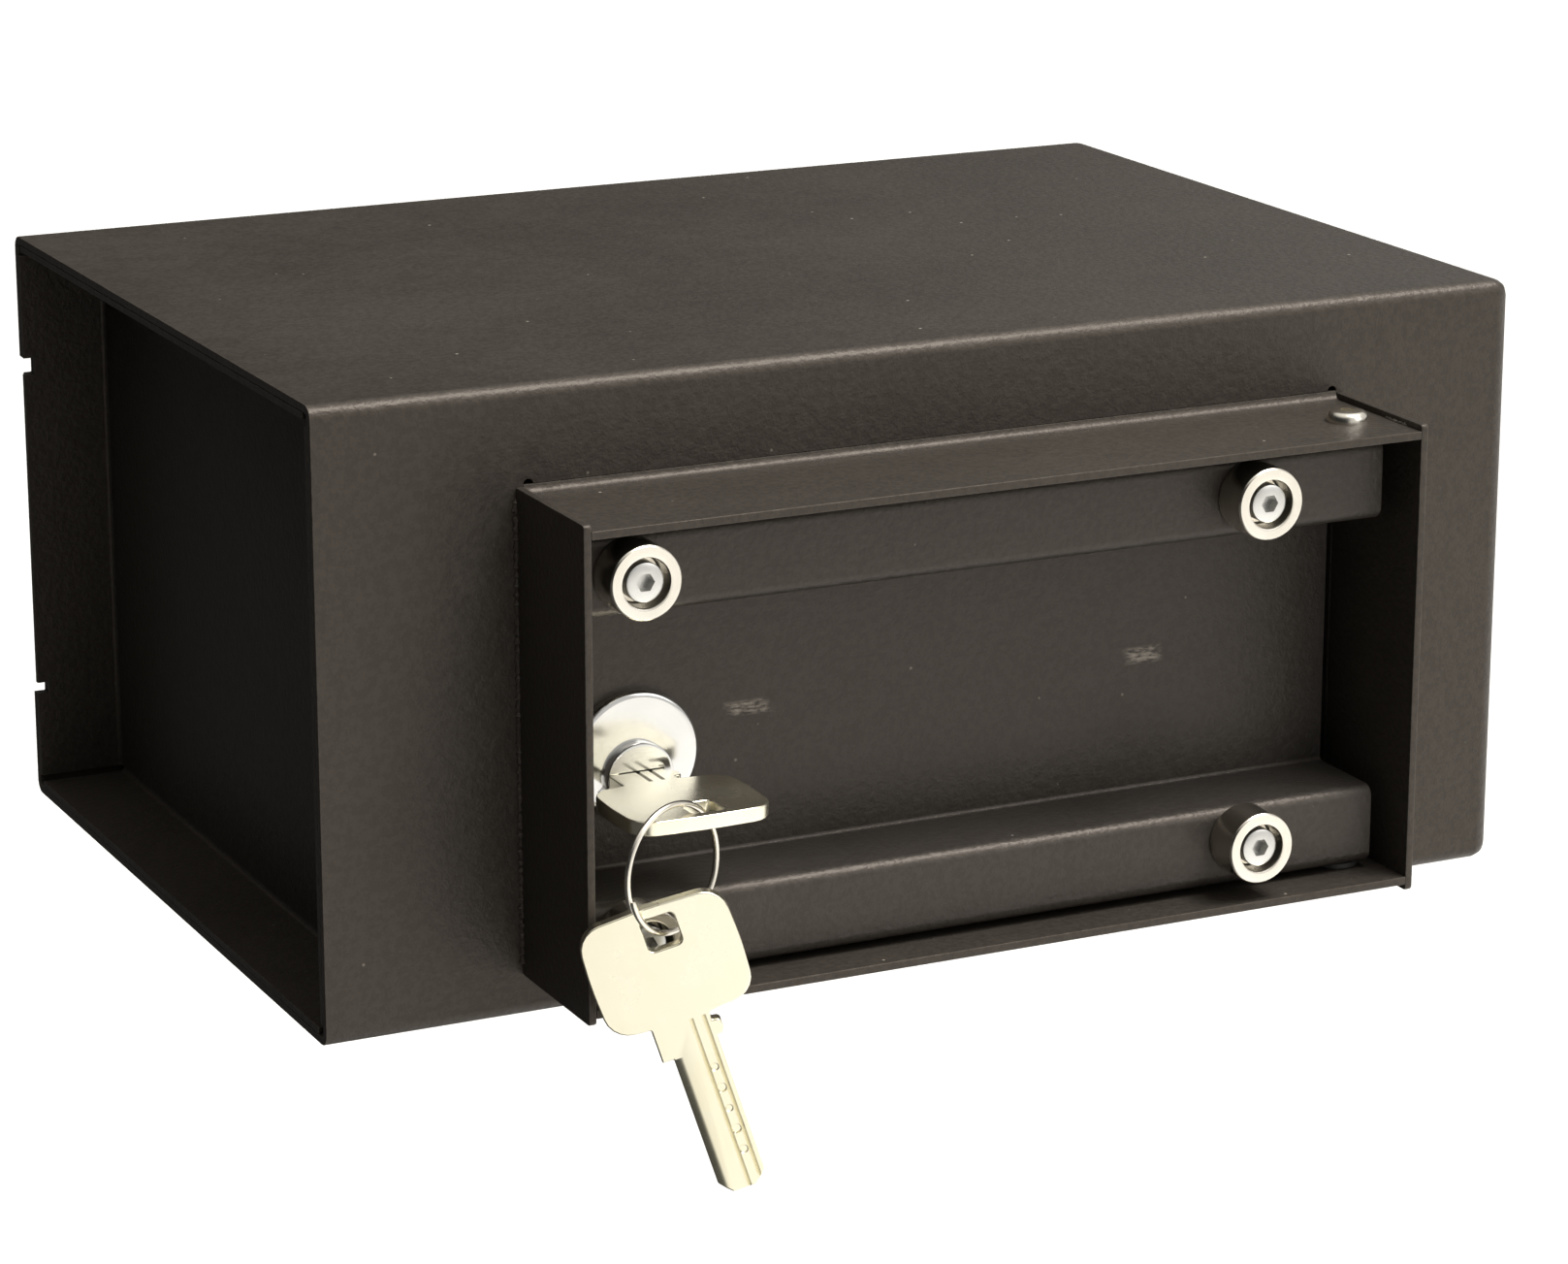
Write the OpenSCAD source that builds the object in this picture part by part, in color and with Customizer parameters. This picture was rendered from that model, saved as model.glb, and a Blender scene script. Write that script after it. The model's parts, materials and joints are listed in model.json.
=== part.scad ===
// Small lockable drop box of folded, powder coated sheet steel for fixing to a wall.
// The closed end is on the right, an end pan closes the left end, and a collar on the
// front holds a recessed service door with a cam lock, two keys and four cover posts.
// Origin: centre of the wall hole pattern on the outside of the back wall.
// +X to the right, -Y out of the wall towards the viewer, +Z up. All sizes in mm.

/* [Body] */
// Outside width of the box
body_w = 240; // [200:1:320]
// Outside depth of the box, front wall to back wall
body_d = 164; // [110:1:240]
// Outside height of the box
body_h = 114; // [110:1:180]
// Thickness of the steel sheet
sheet_t = 1.5; // [1:0.1:2]
// Outside radius of the long folds
fold_r = 2.5; // [2.2:0.1:4]
// Outside radius of the folds round the closed end
end_fold_r = 3.6; // [2.2:0.1:6]
// Distance of the end panel from the open end
end_recess = 17; // [8:0.5:18]
// Thickness of the end pan
pan_t = 1.2; // [0.8:0.1:2]
// Gap between the end pan and the body
pan_gap = 0.1; // [0.05:0.05:0.3]
// Inside radius of the end pan's folds
pan_r = 1.0; // [0.5:0.1:2]

/* [Back wall] */
// Spacing of the wall holes across
wall_pitch_x = 180; // [100:1:190]
// Spacing of the wall holes up and down
wall_pitch_z = 70; // [40:1:80]
// Radius of a wall hole
wall_hole_r = 3.25; // [2:0.05:4]
// Depth of the two notches in the back wall's open edge
notch_depth = 2.2; // [1:0.1:5]
// Height of the upper notch
notch_upper_h = 3.3; // [1:0.1:5]
// Height of the lower notch
notch_lower_h = 2.3; // [1:0.1:5]
// Upper notch, middle to underside of the box
notch_upper_z = 88; // [60:0.5:95]
// Lower notch, middle to underside of the box
notch_lower_z = 22; // [15:0.5:50]
// Set-back of the edge between the notches
notch_land = 0.6; // [0.1:0.1:1]

/* [Collar] */
// Collar, outside left to the box's left end
collar_from_left = 37; // [36:0.5:45]
// Outside width of the collar
collar_w = 166; // [150:1:190]
// Collar's lower flange, underside to the underside of the box
collar_from_bottom = 9; // [6:0.5:15]
// Height of the collar over its flanges
collar_h = 86; // [84:1:95]
// How far the collar stands out of the front wall
collar_depth = 29; // [28.5:0.5:40]
// Inside radius of the fold between wall and flange
collar_r = 1.5; // [0.8:0.1:2]
// How far the side plates stand past the flanges
side_rise = 1.2; // [0.2:0.1:2]
// Corner radius of the side plates
side_corner_r = 0.8; // [0.5:0.1:4]
// Radius of the relief holes at the ends of the flange folds
relief_r = 0.9; // [0.5:0.1:1.2]

/* [Door] */
// Gap between the door's free end and the collar
door_gap_free = 1.7; // [1.5:0.1:3]
// Gap between the door's pivot end and the collar
door_gap_pivot = 3.3; // [3.3:0.1:5]
// Gap above and below the door
door_gap_z = 1.1; // [0.8:0.1:2]
// Set-back of the rails behind the collar's front edge
rail_setback = 7.3; // [6:0.1:10]
// Depth of the step from the rails back to the middle panel
rail_step = 18; // [16:0.5:20]
// Height of each rail
rail_h = 15; // [14:0.5:18]
// Inside radius of the door's folds
door_r = 0.8; // [0.5:0.1:1.2]
// Depth of the return flanges along the top and bottom of the door
return_depth = 14; // [11:0.5:17]
// Height of each door stop
stop_h = 6; // [3:0.5:8]
// Width of the stop's lap behind the door
stop_lap = 5; // [2:0.5:6]
// Gap between a closed door and its stops
stop_gap = 0.3; // [0.2:0.1:0.6]
// Door stops, distance of each from the middle of the door
stop_from_middle = 20; // [18.5:0.5:21.5]

/* [Pivots] */
// Pivot axis to the door's end
pivot_inset_x = 4.2; // [4.2:0.1:6]
// Pivot axis to the front of the rails
pivot_inset_y = 5.9; // [5.9:0.1:6.1]
// Radius of the pivot screw's shank
pivot_r = 1.95; // [1.4:0.05:1.95]
// Running clearance round the pivot screw, on the radius
pivot_clear = 0.05; // [0.02:0.01:0.1]
// Radius of the pivot screw's button head
pivot_head_r = 3.8; // [3:0.1:4]
// Height of the button head
pivot_head_h = 2.2; // [1.5:0.1:2.5]

/* [Cover posts] */
// Left posts to the door's free end
post_from_left = 8.2; // [8:0.1:12]
// Spacing of the posts across
post_pitch_x = 121.8; // [100:0.1:125]
// Upper posts to the top of the door
post_from_top = 7.4; // [7.2:0.1:8]
// Spacing of the posts up and down
post_pitch_z = 64.4; // [64.3:0.1:66]
// Radius of a post
post_r = 6.6; // [6:0.1:7]
// Length of a post
post_l = 7.5; // [6.5:0.1:9]
// Radius of the post's counterbore
post_cbore_r = 4.4; // [3.9:0.1:4.8]
// Depth of the post's counterbore
post_cbore_d = 4.6; // [4.2:0.1:5]

/* [Lock] */
// Lock axis to the door's free end
lock_from_left = 16.6; // [16:0.1:30]
// Lock axis to the underside of the door
lock_from_bottom = 35.2; // [34:0.1:38]
// Radius of the lock's round front flange
rose_r = 12; // [11:0.1:12.5]
// Thickness of the flange
rose_t = 2; // [1.5:0.1:3]
// Radius of the lock body behind the flange
lock_r = 9.75; // [9.6:0.05:10]
// Length of the lock body, from the front of the door panel
lock_l = 25.5; // [25:0.5:28]
// Drop of the plug below the middle of the lock
plug_drop = 3.3; // [3:0.1:3.4]
// Radius of the plug
plug_r = 5.25; // [5.1:0.05:5.3]
// Radius of the plug's front collar
plug_head_r = 6.4; // [5.8:0.1:7]
// How far the plug's front collar stands out
plug_head_l = 1.7; // [1:0.1:2.5]
// Running clearance round the plug, on the radius
plug_clear = 0.05; // [0.02:0.01:0.1]
// Length of the cam, from the plug's axis to its tip
cam_l = 27; // [25:0.5:30]
// Width of the cam
cam_w = 14; // [11:0.5:15]
// Thickness of the cam
cam_t = 2; // [1.5:0.1:3]
// Number of locking pins in a row
pin_count = 5; // [2:1:5]
// Spacing of the locking pins
pin_pitch = 4; // [3:0.1:4]
// Radius of a locking pin
pin_r = 1.25; // [0.8:0.05:1.3]

/* [Keys] */
// Width of a key's bow
bow_w = 27; // [24:0.5:30]
// Length of a key's bow
bow_l = 21.3; // [19:0.1:24]
// Thickness of a key
key_t = 2.6; // [2.2:0.1:2.8]
// Corner radius of the bow
bow_r = 5; // [4:0.5:9]
// Length of the neck, from the bow to the stop
neck_l = 6.3; // [5:0.1:8]
// Length of the blade, from the stop to the tip
blade_l = 26.5; // [20:0.5:27]
// Width of the blade
blade_w = 8.4; // [7.5:0.1:8.6]
// Side of the square hole in the bow
hole_w = 6; // [5.6:0.1:6.4]
// Hole's middle to the end of the bow
hole_from_end = 5; // [5:0.1:6]
// Key ring radius, to the middle of the wire
ring_r = 11.2; // [10:0.1:12]
// Radius of the ring's wire
wire_r = 0.55; // [0.4:0.05:0.6]
// Turn of the ring's plane away from the front of the box
ring_turn = 24; // [22:1:32]
// Turn of the hanging key's plane
spare_turn = -20; // [-22:1:-18]
// Lean of the hanging key
spare_lean = 18; // [17:1:20]

/* [Hidden] */
$fn = 48;
eps = 0.01;      // how far a cut runs past the face that it opens
cut = 1;         // how far a through cut runs past a sheet

// Body faces
x_left = -body_w / 2;
x_right = body_w / 2;
y_front = -body_d;
z_low = -body_h / 2;
z_high = body_h / 2;

// End pan: its faces inside the body's outside, and the cut-out at each of its corners
pan_in = sheet_t + pan_gap;
pan_relief = pan_t + pan_r;

// Collar faces, outside and inside
c_left = x_left + collar_from_left;
c_right = c_left + collar_w;
c_low = z_low + collar_from_bottom;
c_high = c_low + collar_h;
y_collar = y_front - collar_depth;
in_left = c_left + sheet_t;
in_right = c_right - sheet_t;
in_low = c_low + sheet_t;
in_high = c_high - sheet_t;

// Door faces
d_left = in_left + door_gap_free;
d_right = in_right - door_gap_pivot;
d_low = in_low + door_gap_z;
d_high = in_high - door_gap_z;
d_middle = (d_low + d_high) / 2;
y_rail = y_collar + rail_setback;
y_panel = y_rail + rail_step;
y_panel_back = y_panel + sheet_t;
recess_low = d_low + rail_h;
recess_high = d_high - rail_h;

// Pivot axis
x_pivot = d_right - pivot_inset_x;
y_pivot = y_rail + pivot_inset_y;

// Cover posts and their M4 screws
post_xs = [d_left + post_from_left, d_left + post_from_left + post_pitch_x];
post_zs = [d_high - post_from_top - post_pitch_z, d_high - post_from_top];
m4_r = 1.95;
m4_clear = 0.15;
m4_nut_af = 7;
m4_nut_h = 3.2;
m4_head_r = 3.5;
m4_head_h = 4;
m4_socket_af = 3;
m4_socket_d = 2;
thread_gap = 0.02;

// Lock axis, plug axis and the faces along them
lock_x = d_left + lock_from_left;
lock_z = d_low + lock_from_bottom;
plug_z = lock_z - plug_drop;
y_rose = y_panel - rose_t;
y_plug_face = y_rose - plug_head_l;
y_lock_back = y_panel + lock_l;
plug_end_gap = 0.3;
y_cam = y_lock_back + plug_end_gap;
tang_w = 6;
tang_clear = 0.05;
slot_clear = 0.15;
pin_clear = 0.05;
pin_first = 2.7;
driver_l = 2.6;
spring_gap = 0.1;
cover_t = 1;
cover_w = 3.4;
lock_nut_af = 24;
lock_nut_t = 3;
cam_screw_r = 1.95;
cam_washer_r = 4.5;
cam_washer_t = 0.8;

// Gap under the pivot screws' heads, which turn with the door
head_gap = 0.05;

// Catch behind the front wall
catch_gap = 1;
catch_h = 16;
catch_foot = 14;
catch_inset = 2.5;

// Keys and ring
hole_side = 1;              // the hole sits this far to one side of the key's middle
shoulder_w = 2;             // the stop stands this far out of the blade
nub_r = 1.5;
nub_from_stop = 3.2;
bow_clear = 0.3;
key_seat_gap = 0.1;
margin_mid = 7.4;           // hole's middle to the middle of the bow's edge, along the ring
margin_half = 5;            // half the length of bow that the ring passes over
hang_angle = -118;          // where on the ring the second key hangs
hang_side = 1.4;            // hole's middle to the right of that wire
key_x = lock_x;
key_stop_y = y_plug_face - key_seat_gap;
hole_x = key_x + hole_side;
hole_y = key_stop_y - neck_l - bow_l + hole_from_end;
ring_dir = [cos(ring_turn), sin(ring_turn), 0];
wire_over_bow = key_t / 2 + bow_clear + wire_r;
ring_sag = sqrt(ring_r * ring_r - margin_half * margin_half);
ring_mid = [hole_x, hole_y, plug_z + wire_over_bow - ring_sag] - margin_mid * ring_dir;
hang_at = ring_mid + ring_r * cos(hang_angle) * ring_dir + [0, 0, ring_r * sin(hang_angle)];

steel = [0.17, 0.16, 0.15];
nickel = [0.8, 0.78, 0.72];
zinc = [0.7, 0.72, 0.74];
brass = [0.72, 0.62, 0.35];
chrome = [0.85, 0.86, 0.88];
black_nylon = [0.07, 0.07, 0.07];

// ---- shared shapes ----

// A block between two values along each axis
module block(xs, ys, zs) {
    translate([xs[0], ys[0], zs[0]]) cube([xs[1] - xs[0], ys[1] - ys[0], zs[1] - zs[0]]);
}

// A flat rectangle between two values along each axis
module plate2(xs, ys) {
    translate([xs[0], ys[0]]) square([xs[1] - xs[0], ys[1] - ys[0]]);
}

// A flat rectangle with round corners
module round_plate2(xs, ys, r) {
    plate2([xs[0] + r, xs[1] - r], ys);
    plate2(xs, [ys[0] + r, ys[1] - r]);
    for (x = [xs[0] + r, xs[1] - r], y = [ys[0] + r, ys[1] - r]) translate([x, y]) circle(r);
}

// Runs a flat shape, drawn as Y across and Z up, along X
module along_x(xs) {
    translate([xs[0], 0, 0]) rotate([90, 0, 90]) linear_extrude(xs[1] - xs[0]) children();
}

// Runs a flat shape, drawn as X across and Z up, along Y
module along_y(ys) {
    translate([0, ys[1], 0]) rotate([90, 0, 0]) linear_extrude(ys[1] - ys[0]) children();
}

// Runs a flat shape, drawn as X across and Y up, along Z
module along_z(zs) {
    translate([0, 0, zs[0]]) linear_extrude(zs[1] - zs[0]) children();
}

// A round bar along Y
module bar_y(x, z, ys, r) {
    translate([x, ys[1], z]) rotate([90, 0, 0]) cylinder(h = ys[1] - ys[0], r = r);
}

// A quarter of a fold in a sheet: dy and dz say which way it lies from its centre
module fold2(y, z, r, dy, dz) {
    intersection() {
        translate([y, z]) difference() {
            circle(r + sheet_t);
            circle(r);
        }
        translate([dy < 0 ? y - r - sheet_t : y, dz < 0 ? z - r - sheet_t : z]) square(r + sheet_t);
    }
}

// A hexagonal prism along Y, flats up and down, with a hole
module hex_nut_y(x, z, ys, af, hole_r) {
    translate([x, ys[1], z]) rotate([90, 0, 0]) difference() {
        cylinder(h = ys[1] - ys[0], r = af / sqrt(3), $fn = 6);
        translate([0, 0, -cut]) cylinder(h = ys[1] - ys[0] + 2 * cut, r = hole_r);
    }
}

// ---- body ----

// The folded form of the box, shrunk by one value on every closed side
module box_form(inset, open_run) {
    ys = [y_front + inset, -inset];
    zs = [z_low + inset, z_high - inset];
    xs = [x_left - open_run, x_right - inset];
    past = 2 * end_fold_r;
    intersection() {
        along_x(xs) round_plate2(ys, zs, fold_r - inset);
        along_y(ys) round_plate2([xs[0] - past, xs[1]], zs, end_fold_r - inset);
        along_z(zs) round_plate2([xs[0] - past, xs[1]], ys, end_fold_r - inset);
    }
}

// One collar flange folded out of the front wall; side is 1 on top and -1 below
module collar_flange(z_out, side) {
    y_fold = y_front - collar_r;
    z_fold = z_out + side * collar_r;
    z_in = z_out - side * sheet_t;
    along_x([in_left, in_right]) {
        fold2(y_fold, z_fold, collar_r, 1, -side);
        plate2([y_collar, y_fold], [min(z_in, z_out), max(z_in, z_out)]);
    }
}

// Rounded notches in the open edge of a sheet at the back, which starts at x
module back_notches(x, deep) {
    run = 3 * sheet_t + fold_r;
    for (n = [[notch_upper_z, notch_upper_h], [notch_lower_z, notch_lower_h]])
        block([x - cut, x + deep], [-run, cut], [z_low + n[0] - n[1] / 2, z_low + n[0] + n[1] / 2]);
}

module housing() color(steel) {
    difference() {
        union() {
            difference() {
                box_form(0, 0);
                box_form(sheet_t, cut);
                block([in_left, in_right], [y_front - cut, y_front + sheet_t + cut],
                      [c_low - collar_r, c_high + collar_r]);
            }
            collar_flange(c_high, 1);
            collar_flange(c_low, -1);
        }
        for (x = [in_left + relief_r, in_right - relief_r], z = [c_low - collar_r, c_high + collar_r])
            bar_y(x, z, [y_front - cut, y_front + sheet_t + cut], relief_r);
        translate([x_pivot, y_pivot, c_low - cut])
            cylinder(h = collar_h + 2 * cut, r = pivot_r + pivot_clear);
        for (x = [-wall_pitch_x / 2, wall_pitch_x / 2], z = [-wall_pitch_z / 2, wall_pitch_z / 2])
            bar_y(x, z, [-sheet_t - cut, cut], wall_hole_r);
        back_notches(x_left, notch_depth);
        block([x_left - cut, x_left + notch_land], [-sheet_t - eps, cut],
              [z_low + notch_lower_z, z_low + notch_upper_z]);
    }
}

module collar_side(xs) color(steel)
    along_x(xs) union() {
        zs = [c_low - side_rise, c_high + side_rise];
        round_plate2([y_collar, y_front], zs, side_corner_r);
        plate2([y_front - 2 * side_corner_r, y_front], zs);
    }

module collar_side_left() collar_side([c_left, in_left]);

module collar_side_right() collar_side([in_right, c_right]);

module end_pan() color(steel) {
    x_face = x_left + end_recess;
    ys = [y_front + pan_in, -pan_in];
    zs = [z_low + pan_in, z_high - pan_in];
    out_r = pan_r + pan_t;
    difference() {
        intersection() {
            block([x_left, x_face + pan_t], ys, zs);
            along_y(ys) round_plate2([x_left - 2 * out_r, x_face + pan_t], zs, out_r);
            along_z(zs) round_plate2([x_left - 2 * out_r, x_face + pan_t], ys, out_r);
        }
        intersection() {
            block([x_left - cut, x_face], [ys[0] + pan_t, ys[1] - pan_t], [zs[0] + pan_t, zs[1] - pan_t]);
            along_y(ys) round_plate2([x_left - 3 * out_r, x_face], [zs[0] + pan_t, zs[1] - pan_t], pan_r);
            along_z(zs) round_plate2([x_left - 3 * out_r, x_face], [ys[0] + pan_t, ys[1] - pan_t], pan_r);
        }
        for (y = [ys[0] - cut, ys[1] - pan_relief], z = [zs[0] - cut, zs[1] - pan_relief])
            block([x_left - cut, x_face + pan_t + cut], [y, y + pan_relief + cut], [z, z + pan_relief + cut]);
        back_notches(x_left, notch_depth);
    }
}

// Angle bracket inside the front wall, whose edge the locked cam sits behind
module lock_catch() color(zinc) {
    x_edge = c_left - catch_inset;
    zs = [plug_z - catch_h / 2, plug_z + catch_h / 2];
    y_foot = y_front + sheet_t;
    block([x_edge - catch_foot, x_edge], [y_foot, y_foot + sheet_t], zs);
    block([x_edge - sheet_t, x_edge], [y_foot, y_cam - catch_gap], zs);
}

// Two short Z strips on the front wall's inside that reach behind the closed door
module door_stops() color(steel)
    for (z = [d_middle - stop_from_middle, d_middle + stop_from_middle]) {
        zs = [z - stop_h / 2, z + stop_h / 2];
        y_foot = y_front + sheet_t;
        y_stop = y_panel_back + stop_gap;
        x_web = in_left + stop_gap;
        block([c_left - catch_foot, x_web + sheet_t], [y_foot, y_foot + sheet_t], zs);
        block([x_web, x_web + sheet_t], [y_stop, y_foot + sheet_t], zs);
        block([x_web, x_web + sheet_t + stop_lap], [y_stop, y_stop + sheet_t], zs);
    }

// ---- door ----

module door_profile() {
    out_r = door_r + sheet_t;
    y_fold = y_rail + out_r;
    y_return = y_rail + return_depth;
    for (z = [d_high - out_r, recess_low - out_r]) fold2(y_fold, z, door_r, -1, 1);
    for (z = [recess_high + out_r, d_low + out_r]) fold2(y_fold, z, door_r, -1, -1);
    fold2(y_panel - door_r, recess_high - door_r, door_r, 1, 1);
    fold2(y_panel - door_r, recess_low + door_r, door_r, 1, -1);
    plate2([y_fold, y_return], [d_high - sheet_t, d_high]);
    plate2([y_fold, y_return], [d_low, d_low + sheet_t]);
    plate2([y_rail, y_rail + sheet_t], [recess_high + out_r, d_high - out_r]);
    plate2([y_rail, y_rail + sheet_t], [d_low + out_r, recess_low - out_r]);
    plate2([y_fold, y_panel - door_r], [recess_high, recess_high + sheet_t]);
    plate2([y_fold, y_panel - door_r], [recess_low - sheet_t, recess_low]);
    plate2([y_panel, y_panel_back], [recess_low + door_r, recess_high - door_r]);
}

module door_panel() color(steel)
    difference() {
        along_x([d_left, d_right]) door_profile();
        bar_y(lock_x, lock_z, [y_panel - cut, y_panel_back + cut], lock_r + m4_clear);
        for (x = post_xs, z = post_zs) bar_y(x, z, [y_rail - cut, y_rail + sheet_t + cut], m4_r + m4_clear);
        for (z = [d_low - cut, d_high - sheet_t - cut])
            translate([x_pivot, y_pivot, z]) cylinder(h = sheet_t + 2 * cut, r = pivot_r + pivot_clear);
    }

// One pivot screw, head at the origin and shank downwards
module pivot_screw() {
    shank = sheet_t + door_gap_z + sheet_t + m4_nut_h + sheet_t / 2;
    dome_r = (pivot_head_r * pivot_head_r + pivot_head_h * pivot_head_h) / (2 * pivot_head_h);
    difference() {
        union() {
            translate([0, 0, -shank]) cylinder(h = shank, r = pivot_r);
            intersection() {
                cylinder(h = pivot_head_h, r = pivot_head_r);
                translate([0, 0, pivot_head_h - dome_r]) sphere(dome_r);
            }
        }
        translate([0, 0, pivot_head_h / 2]) cylinder(h = pivot_head_h, r = 2.5 / sqrt(3), $fn = 6);
    }
}

// Places a piece drawn for the top pivot at both pivots
module at_pivots(z_top, z_bottom) {
    translate([x_pivot, y_pivot, z_top]) children();
    translate([x_pivot, y_pivot, z_bottom]) mirror([0, 0, 1]) children();
}

module pivot_screws() color(nickel) at_pivots(c_high + head_gap, c_low - head_gap) pivot_screw();

module pivot_nuts() color(zinc)
    at_pivots(d_high - sheet_t - m4_nut_h, d_low + sheet_t + m4_nut_h) difference() {
        cylinder(h = m4_nut_h, r = m4_nut_af / sqrt(3), $fn = 6);
        translate([0, 0, -cut]) cylinder(h = m4_nut_h + 2 * cut, r = pivot_r + thread_gap);
    }

module pivot_washers() color(black_nylon)
    at_pivots(d_high, d_low) difference() {
        cylinder(h = door_gap_z - 0.2, r = 4.5);
        translate([0, 0, -cut]) cylinder(h = door_gap_z + 2 * cut, r = pivot_r + m4_clear);
    }

module cover_posts() color(nickel)
    for (x = post_xs, z = post_zs) difference() {
        bar_y(x, z, [y_rail - post_l, y_rail], post_r);
        bar_y(x, z, [y_rail - post_l - cut, y_rail - post_l + post_cbore_d], post_cbore_r);
        bar_y(x, z, [y_rail - post_l, y_rail + cut], m4_r + m4_clear);
    }

module post_screws() color(zinc) {
    y_seat = y_rail - post_l + post_cbore_d;
    y_head = y_seat - m4_head_h;
    for (x = post_xs, z = post_zs) difference() {
        union() {
            bar_y(x, z, [y_head, y_seat], m4_head_r);
            bar_y(x, z, [y_seat - eps, y_rail + sheet_t + m4_nut_h + sheet_t / 2], m4_r);
        }
        translate([x, y_head + m4_socket_d, z]) rotate([90, 0, 0])
            cylinder(h = m4_socket_d + cut, r = m4_socket_af / sqrt(3), $fn = 6);
    }
}

module post_nuts() color(zinc)
    for (x = post_xs, z = post_zs)
        hex_nut_y(x, z, [y_rail + sheet_t, y_rail + sheet_t + m4_nut_h], m4_nut_af, m4_r + thread_gap);

// ---- lock ----

function pin_y(i) = y_panel + pin_first + i * pin_pitch;

module lock_body() color(chrome)
    difference() {
        union() {
            bar_y(lock_x, lock_z, [y_rose, y_panel], rose_r);
            bar_y(lock_x, lock_z, [y_panel - eps, y_lock_back], lock_r);
        }
        bar_y(lock_x, plug_z, [y_rose - cut, y_lock_back + cut], plug_r + plug_clear);
        for (i = [0 : pin_count - 1])
            translate([lock_x, pin_y(i), plug_z]) cylinder(h = 2 * lock_r, r = pin_r + pin_clear);
        block([lock_x - cover_w / 2, lock_x + cover_w / 2],
              [pin_y(0) - cover_w / 2, pin_y(pin_count - 1) + cover_w / 2],
              [lock_z + lock_r - 2 * cover_t, lock_z + lock_r + cut]);
    }

module chamber_cover() color(brass)
    block([lock_x - cover_w / 2, lock_x + cover_w / 2],
          [pin_y(0) - cover_w / 2, pin_y(pin_count - 1) + cover_w / 2],
          [lock_z + lock_r - 2 * cover_t, lock_z + lock_r - cover_t]);

module driver_pins() color(brass)
    for (i = [0 : pin_count - 1])
        translate([lock_x, pin_y(i), plug_z + plug_r + plug_clear]) cylinder(h = driver_l, r = pin_r);

module driver_springs() color(zinc) {
    z0 = plug_z + plug_r + plug_clear + driver_l;
    z1 = lock_z + lock_r - 2 * cover_t;
    for (i = [0 : pin_count - 1]) translate([lock_x, pin_y(i), z0]) difference() {
        cylinder(h = z1 - z0, r = pin_r - spring_gap);
        translate([0, 0, -cut]) cylinder(h = z1 - z0 + 2 * cut, r = pin_r / 2);
    }
}

module lock_nut() color(zinc)
    hex_nut_y(lock_x, lock_z, [y_panel_back, y_panel_back + lock_nut_t], lock_nut_af, lock_r + thread_gap);

module lock_plug() color(nickel)
    difference() {
        union() {
            bar_y(lock_x, plug_z, [y_plug_face, y_rose - pin_clear], plug_head_r);
            bar_y(lock_x, plug_z, [y_rose - 2 * pin_clear, y_cam], plug_r);
            block([lock_x - tang_w / 2, lock_x + tang_w / 2], [y_cam - eps, y_cam + cam_t],
                  [plug_z - tang_w / 2, plug_z + tang_w / 2]);
        }
        block([lock_x - blade_w / 2 - slot_clear, lock_x + blade_w / 2 + slot_clear],
              [y_plug_face - cut, key_stop_y + blade_l + slot_clear],
              [plug_z - key_t / 2 - slot_clear, plug_z + key_t / 2 + slot_clear]);
        for (i = [0 : pin_count - 1])
            translate([lock_x, pin_y(i), plug_z]) cylinder(h = 2 * plug_r, r = pin_r + pin_clear);
        bar_y(lock_x, plug_z, [y_cam - 2 * cam_t, y_cam + 2 * cam_t], cam_screw_r + thread_gap);
    }

module plug_pins() color(brass) {
    z0 = plug_z + key_t / 2 + pin_clear;
    z1 = plug_z + sqrt(plug_r * plug_r - pin_r * pin_r) - pin_clear;
    for (i = [0 : pin_count - 1]) translate([lock_x, pin_y(i), z0]) cylinder(h = z1 - z0, r = pin_r);
}

// The cam stands upright with the lock open
module cam() color(zinc)
    along_y([y_cam, y_cam + cam_t]) difference() {
        union() {
            translate([lock_x, plug_z]) circle(cam_w / 2);
            plate2([lock_x - cam_w / 2, lock_x + cam_w / 2], [plug_z, plug_z + cam_l]);
        }
        translate([lock_x, plug_z]) square(tang_w + 2 * tang_clear, center = true);
    }

module cam_washer() color(zinc)
    difference() {
        bar_y(lock_x, plug_z, [y_cam + cam_t, y_cam + cam_t + cam_washer_t], cam_washer_r);
        bar_y(lock_x, plug_z, [y_cam, y_cam + cam_t + cam_washer_t + cut], cam_screw_r + m4_clear);
    }

module cam_screw() color(zinc) {
    y_seat = y_cam + cam_t + cam_washer_t;
    difference() {
        union() {
            bar_y(lock_x, plug_z, [y_cam - 1.5 * cam_t, y_seat + eps], cam_screw_r);
            bar_y(lock_x, plug_z, [y_seat, y_seat + pivot_head_h], m4_head_r);
        }
        for (turn = [0, 90]) translate([lock_x, y_seat + pivot_head_h, plug_z]) rotate([0, turn, 0])
            cube([m4_head_r, pivot_head_h, m4_socket_af / 4], center = true);
    }
}

// ---- keys ----

// Flat outline of a key: bow below, tip at the top, stop at the origin
module key_outline(blade_only) {
    tip = blade_w / 4;
    difference() {
        polygon([[-blade_w / 2, -neck_l], [blade_w / 2, -neck_l], [blade_w / 2, blade_l - tip],
                 [blade_w / 4, blade_l], [-blade_w / 4, blade_l], [-blade_w / 2, blade_l - tip]]);
        if (!blade_only) plate2([-blade_w, blade_w], [0, 2 * blade_l]);
    }
    if (!blade_only) {
        plate2([-blade_w / 2 - shoulder_w, 0], [-neck_l - eps, 0]);
        translate([blade_w / 2, -nub_from_stop]) circle(nub_r);
        difference() {
            round_plate2([-bow_w / 2, bow_w / 2], [-neck_l - bow_l, -neck_l], bow_r);
            translate([hole_side, -neck_l - bow_l + hole_from_end])
                round_plate2([-hole_w / 2, hole_w / 2], [-hole_w / 2, hole_w / 2], 1);
        }
    }
}

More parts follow.
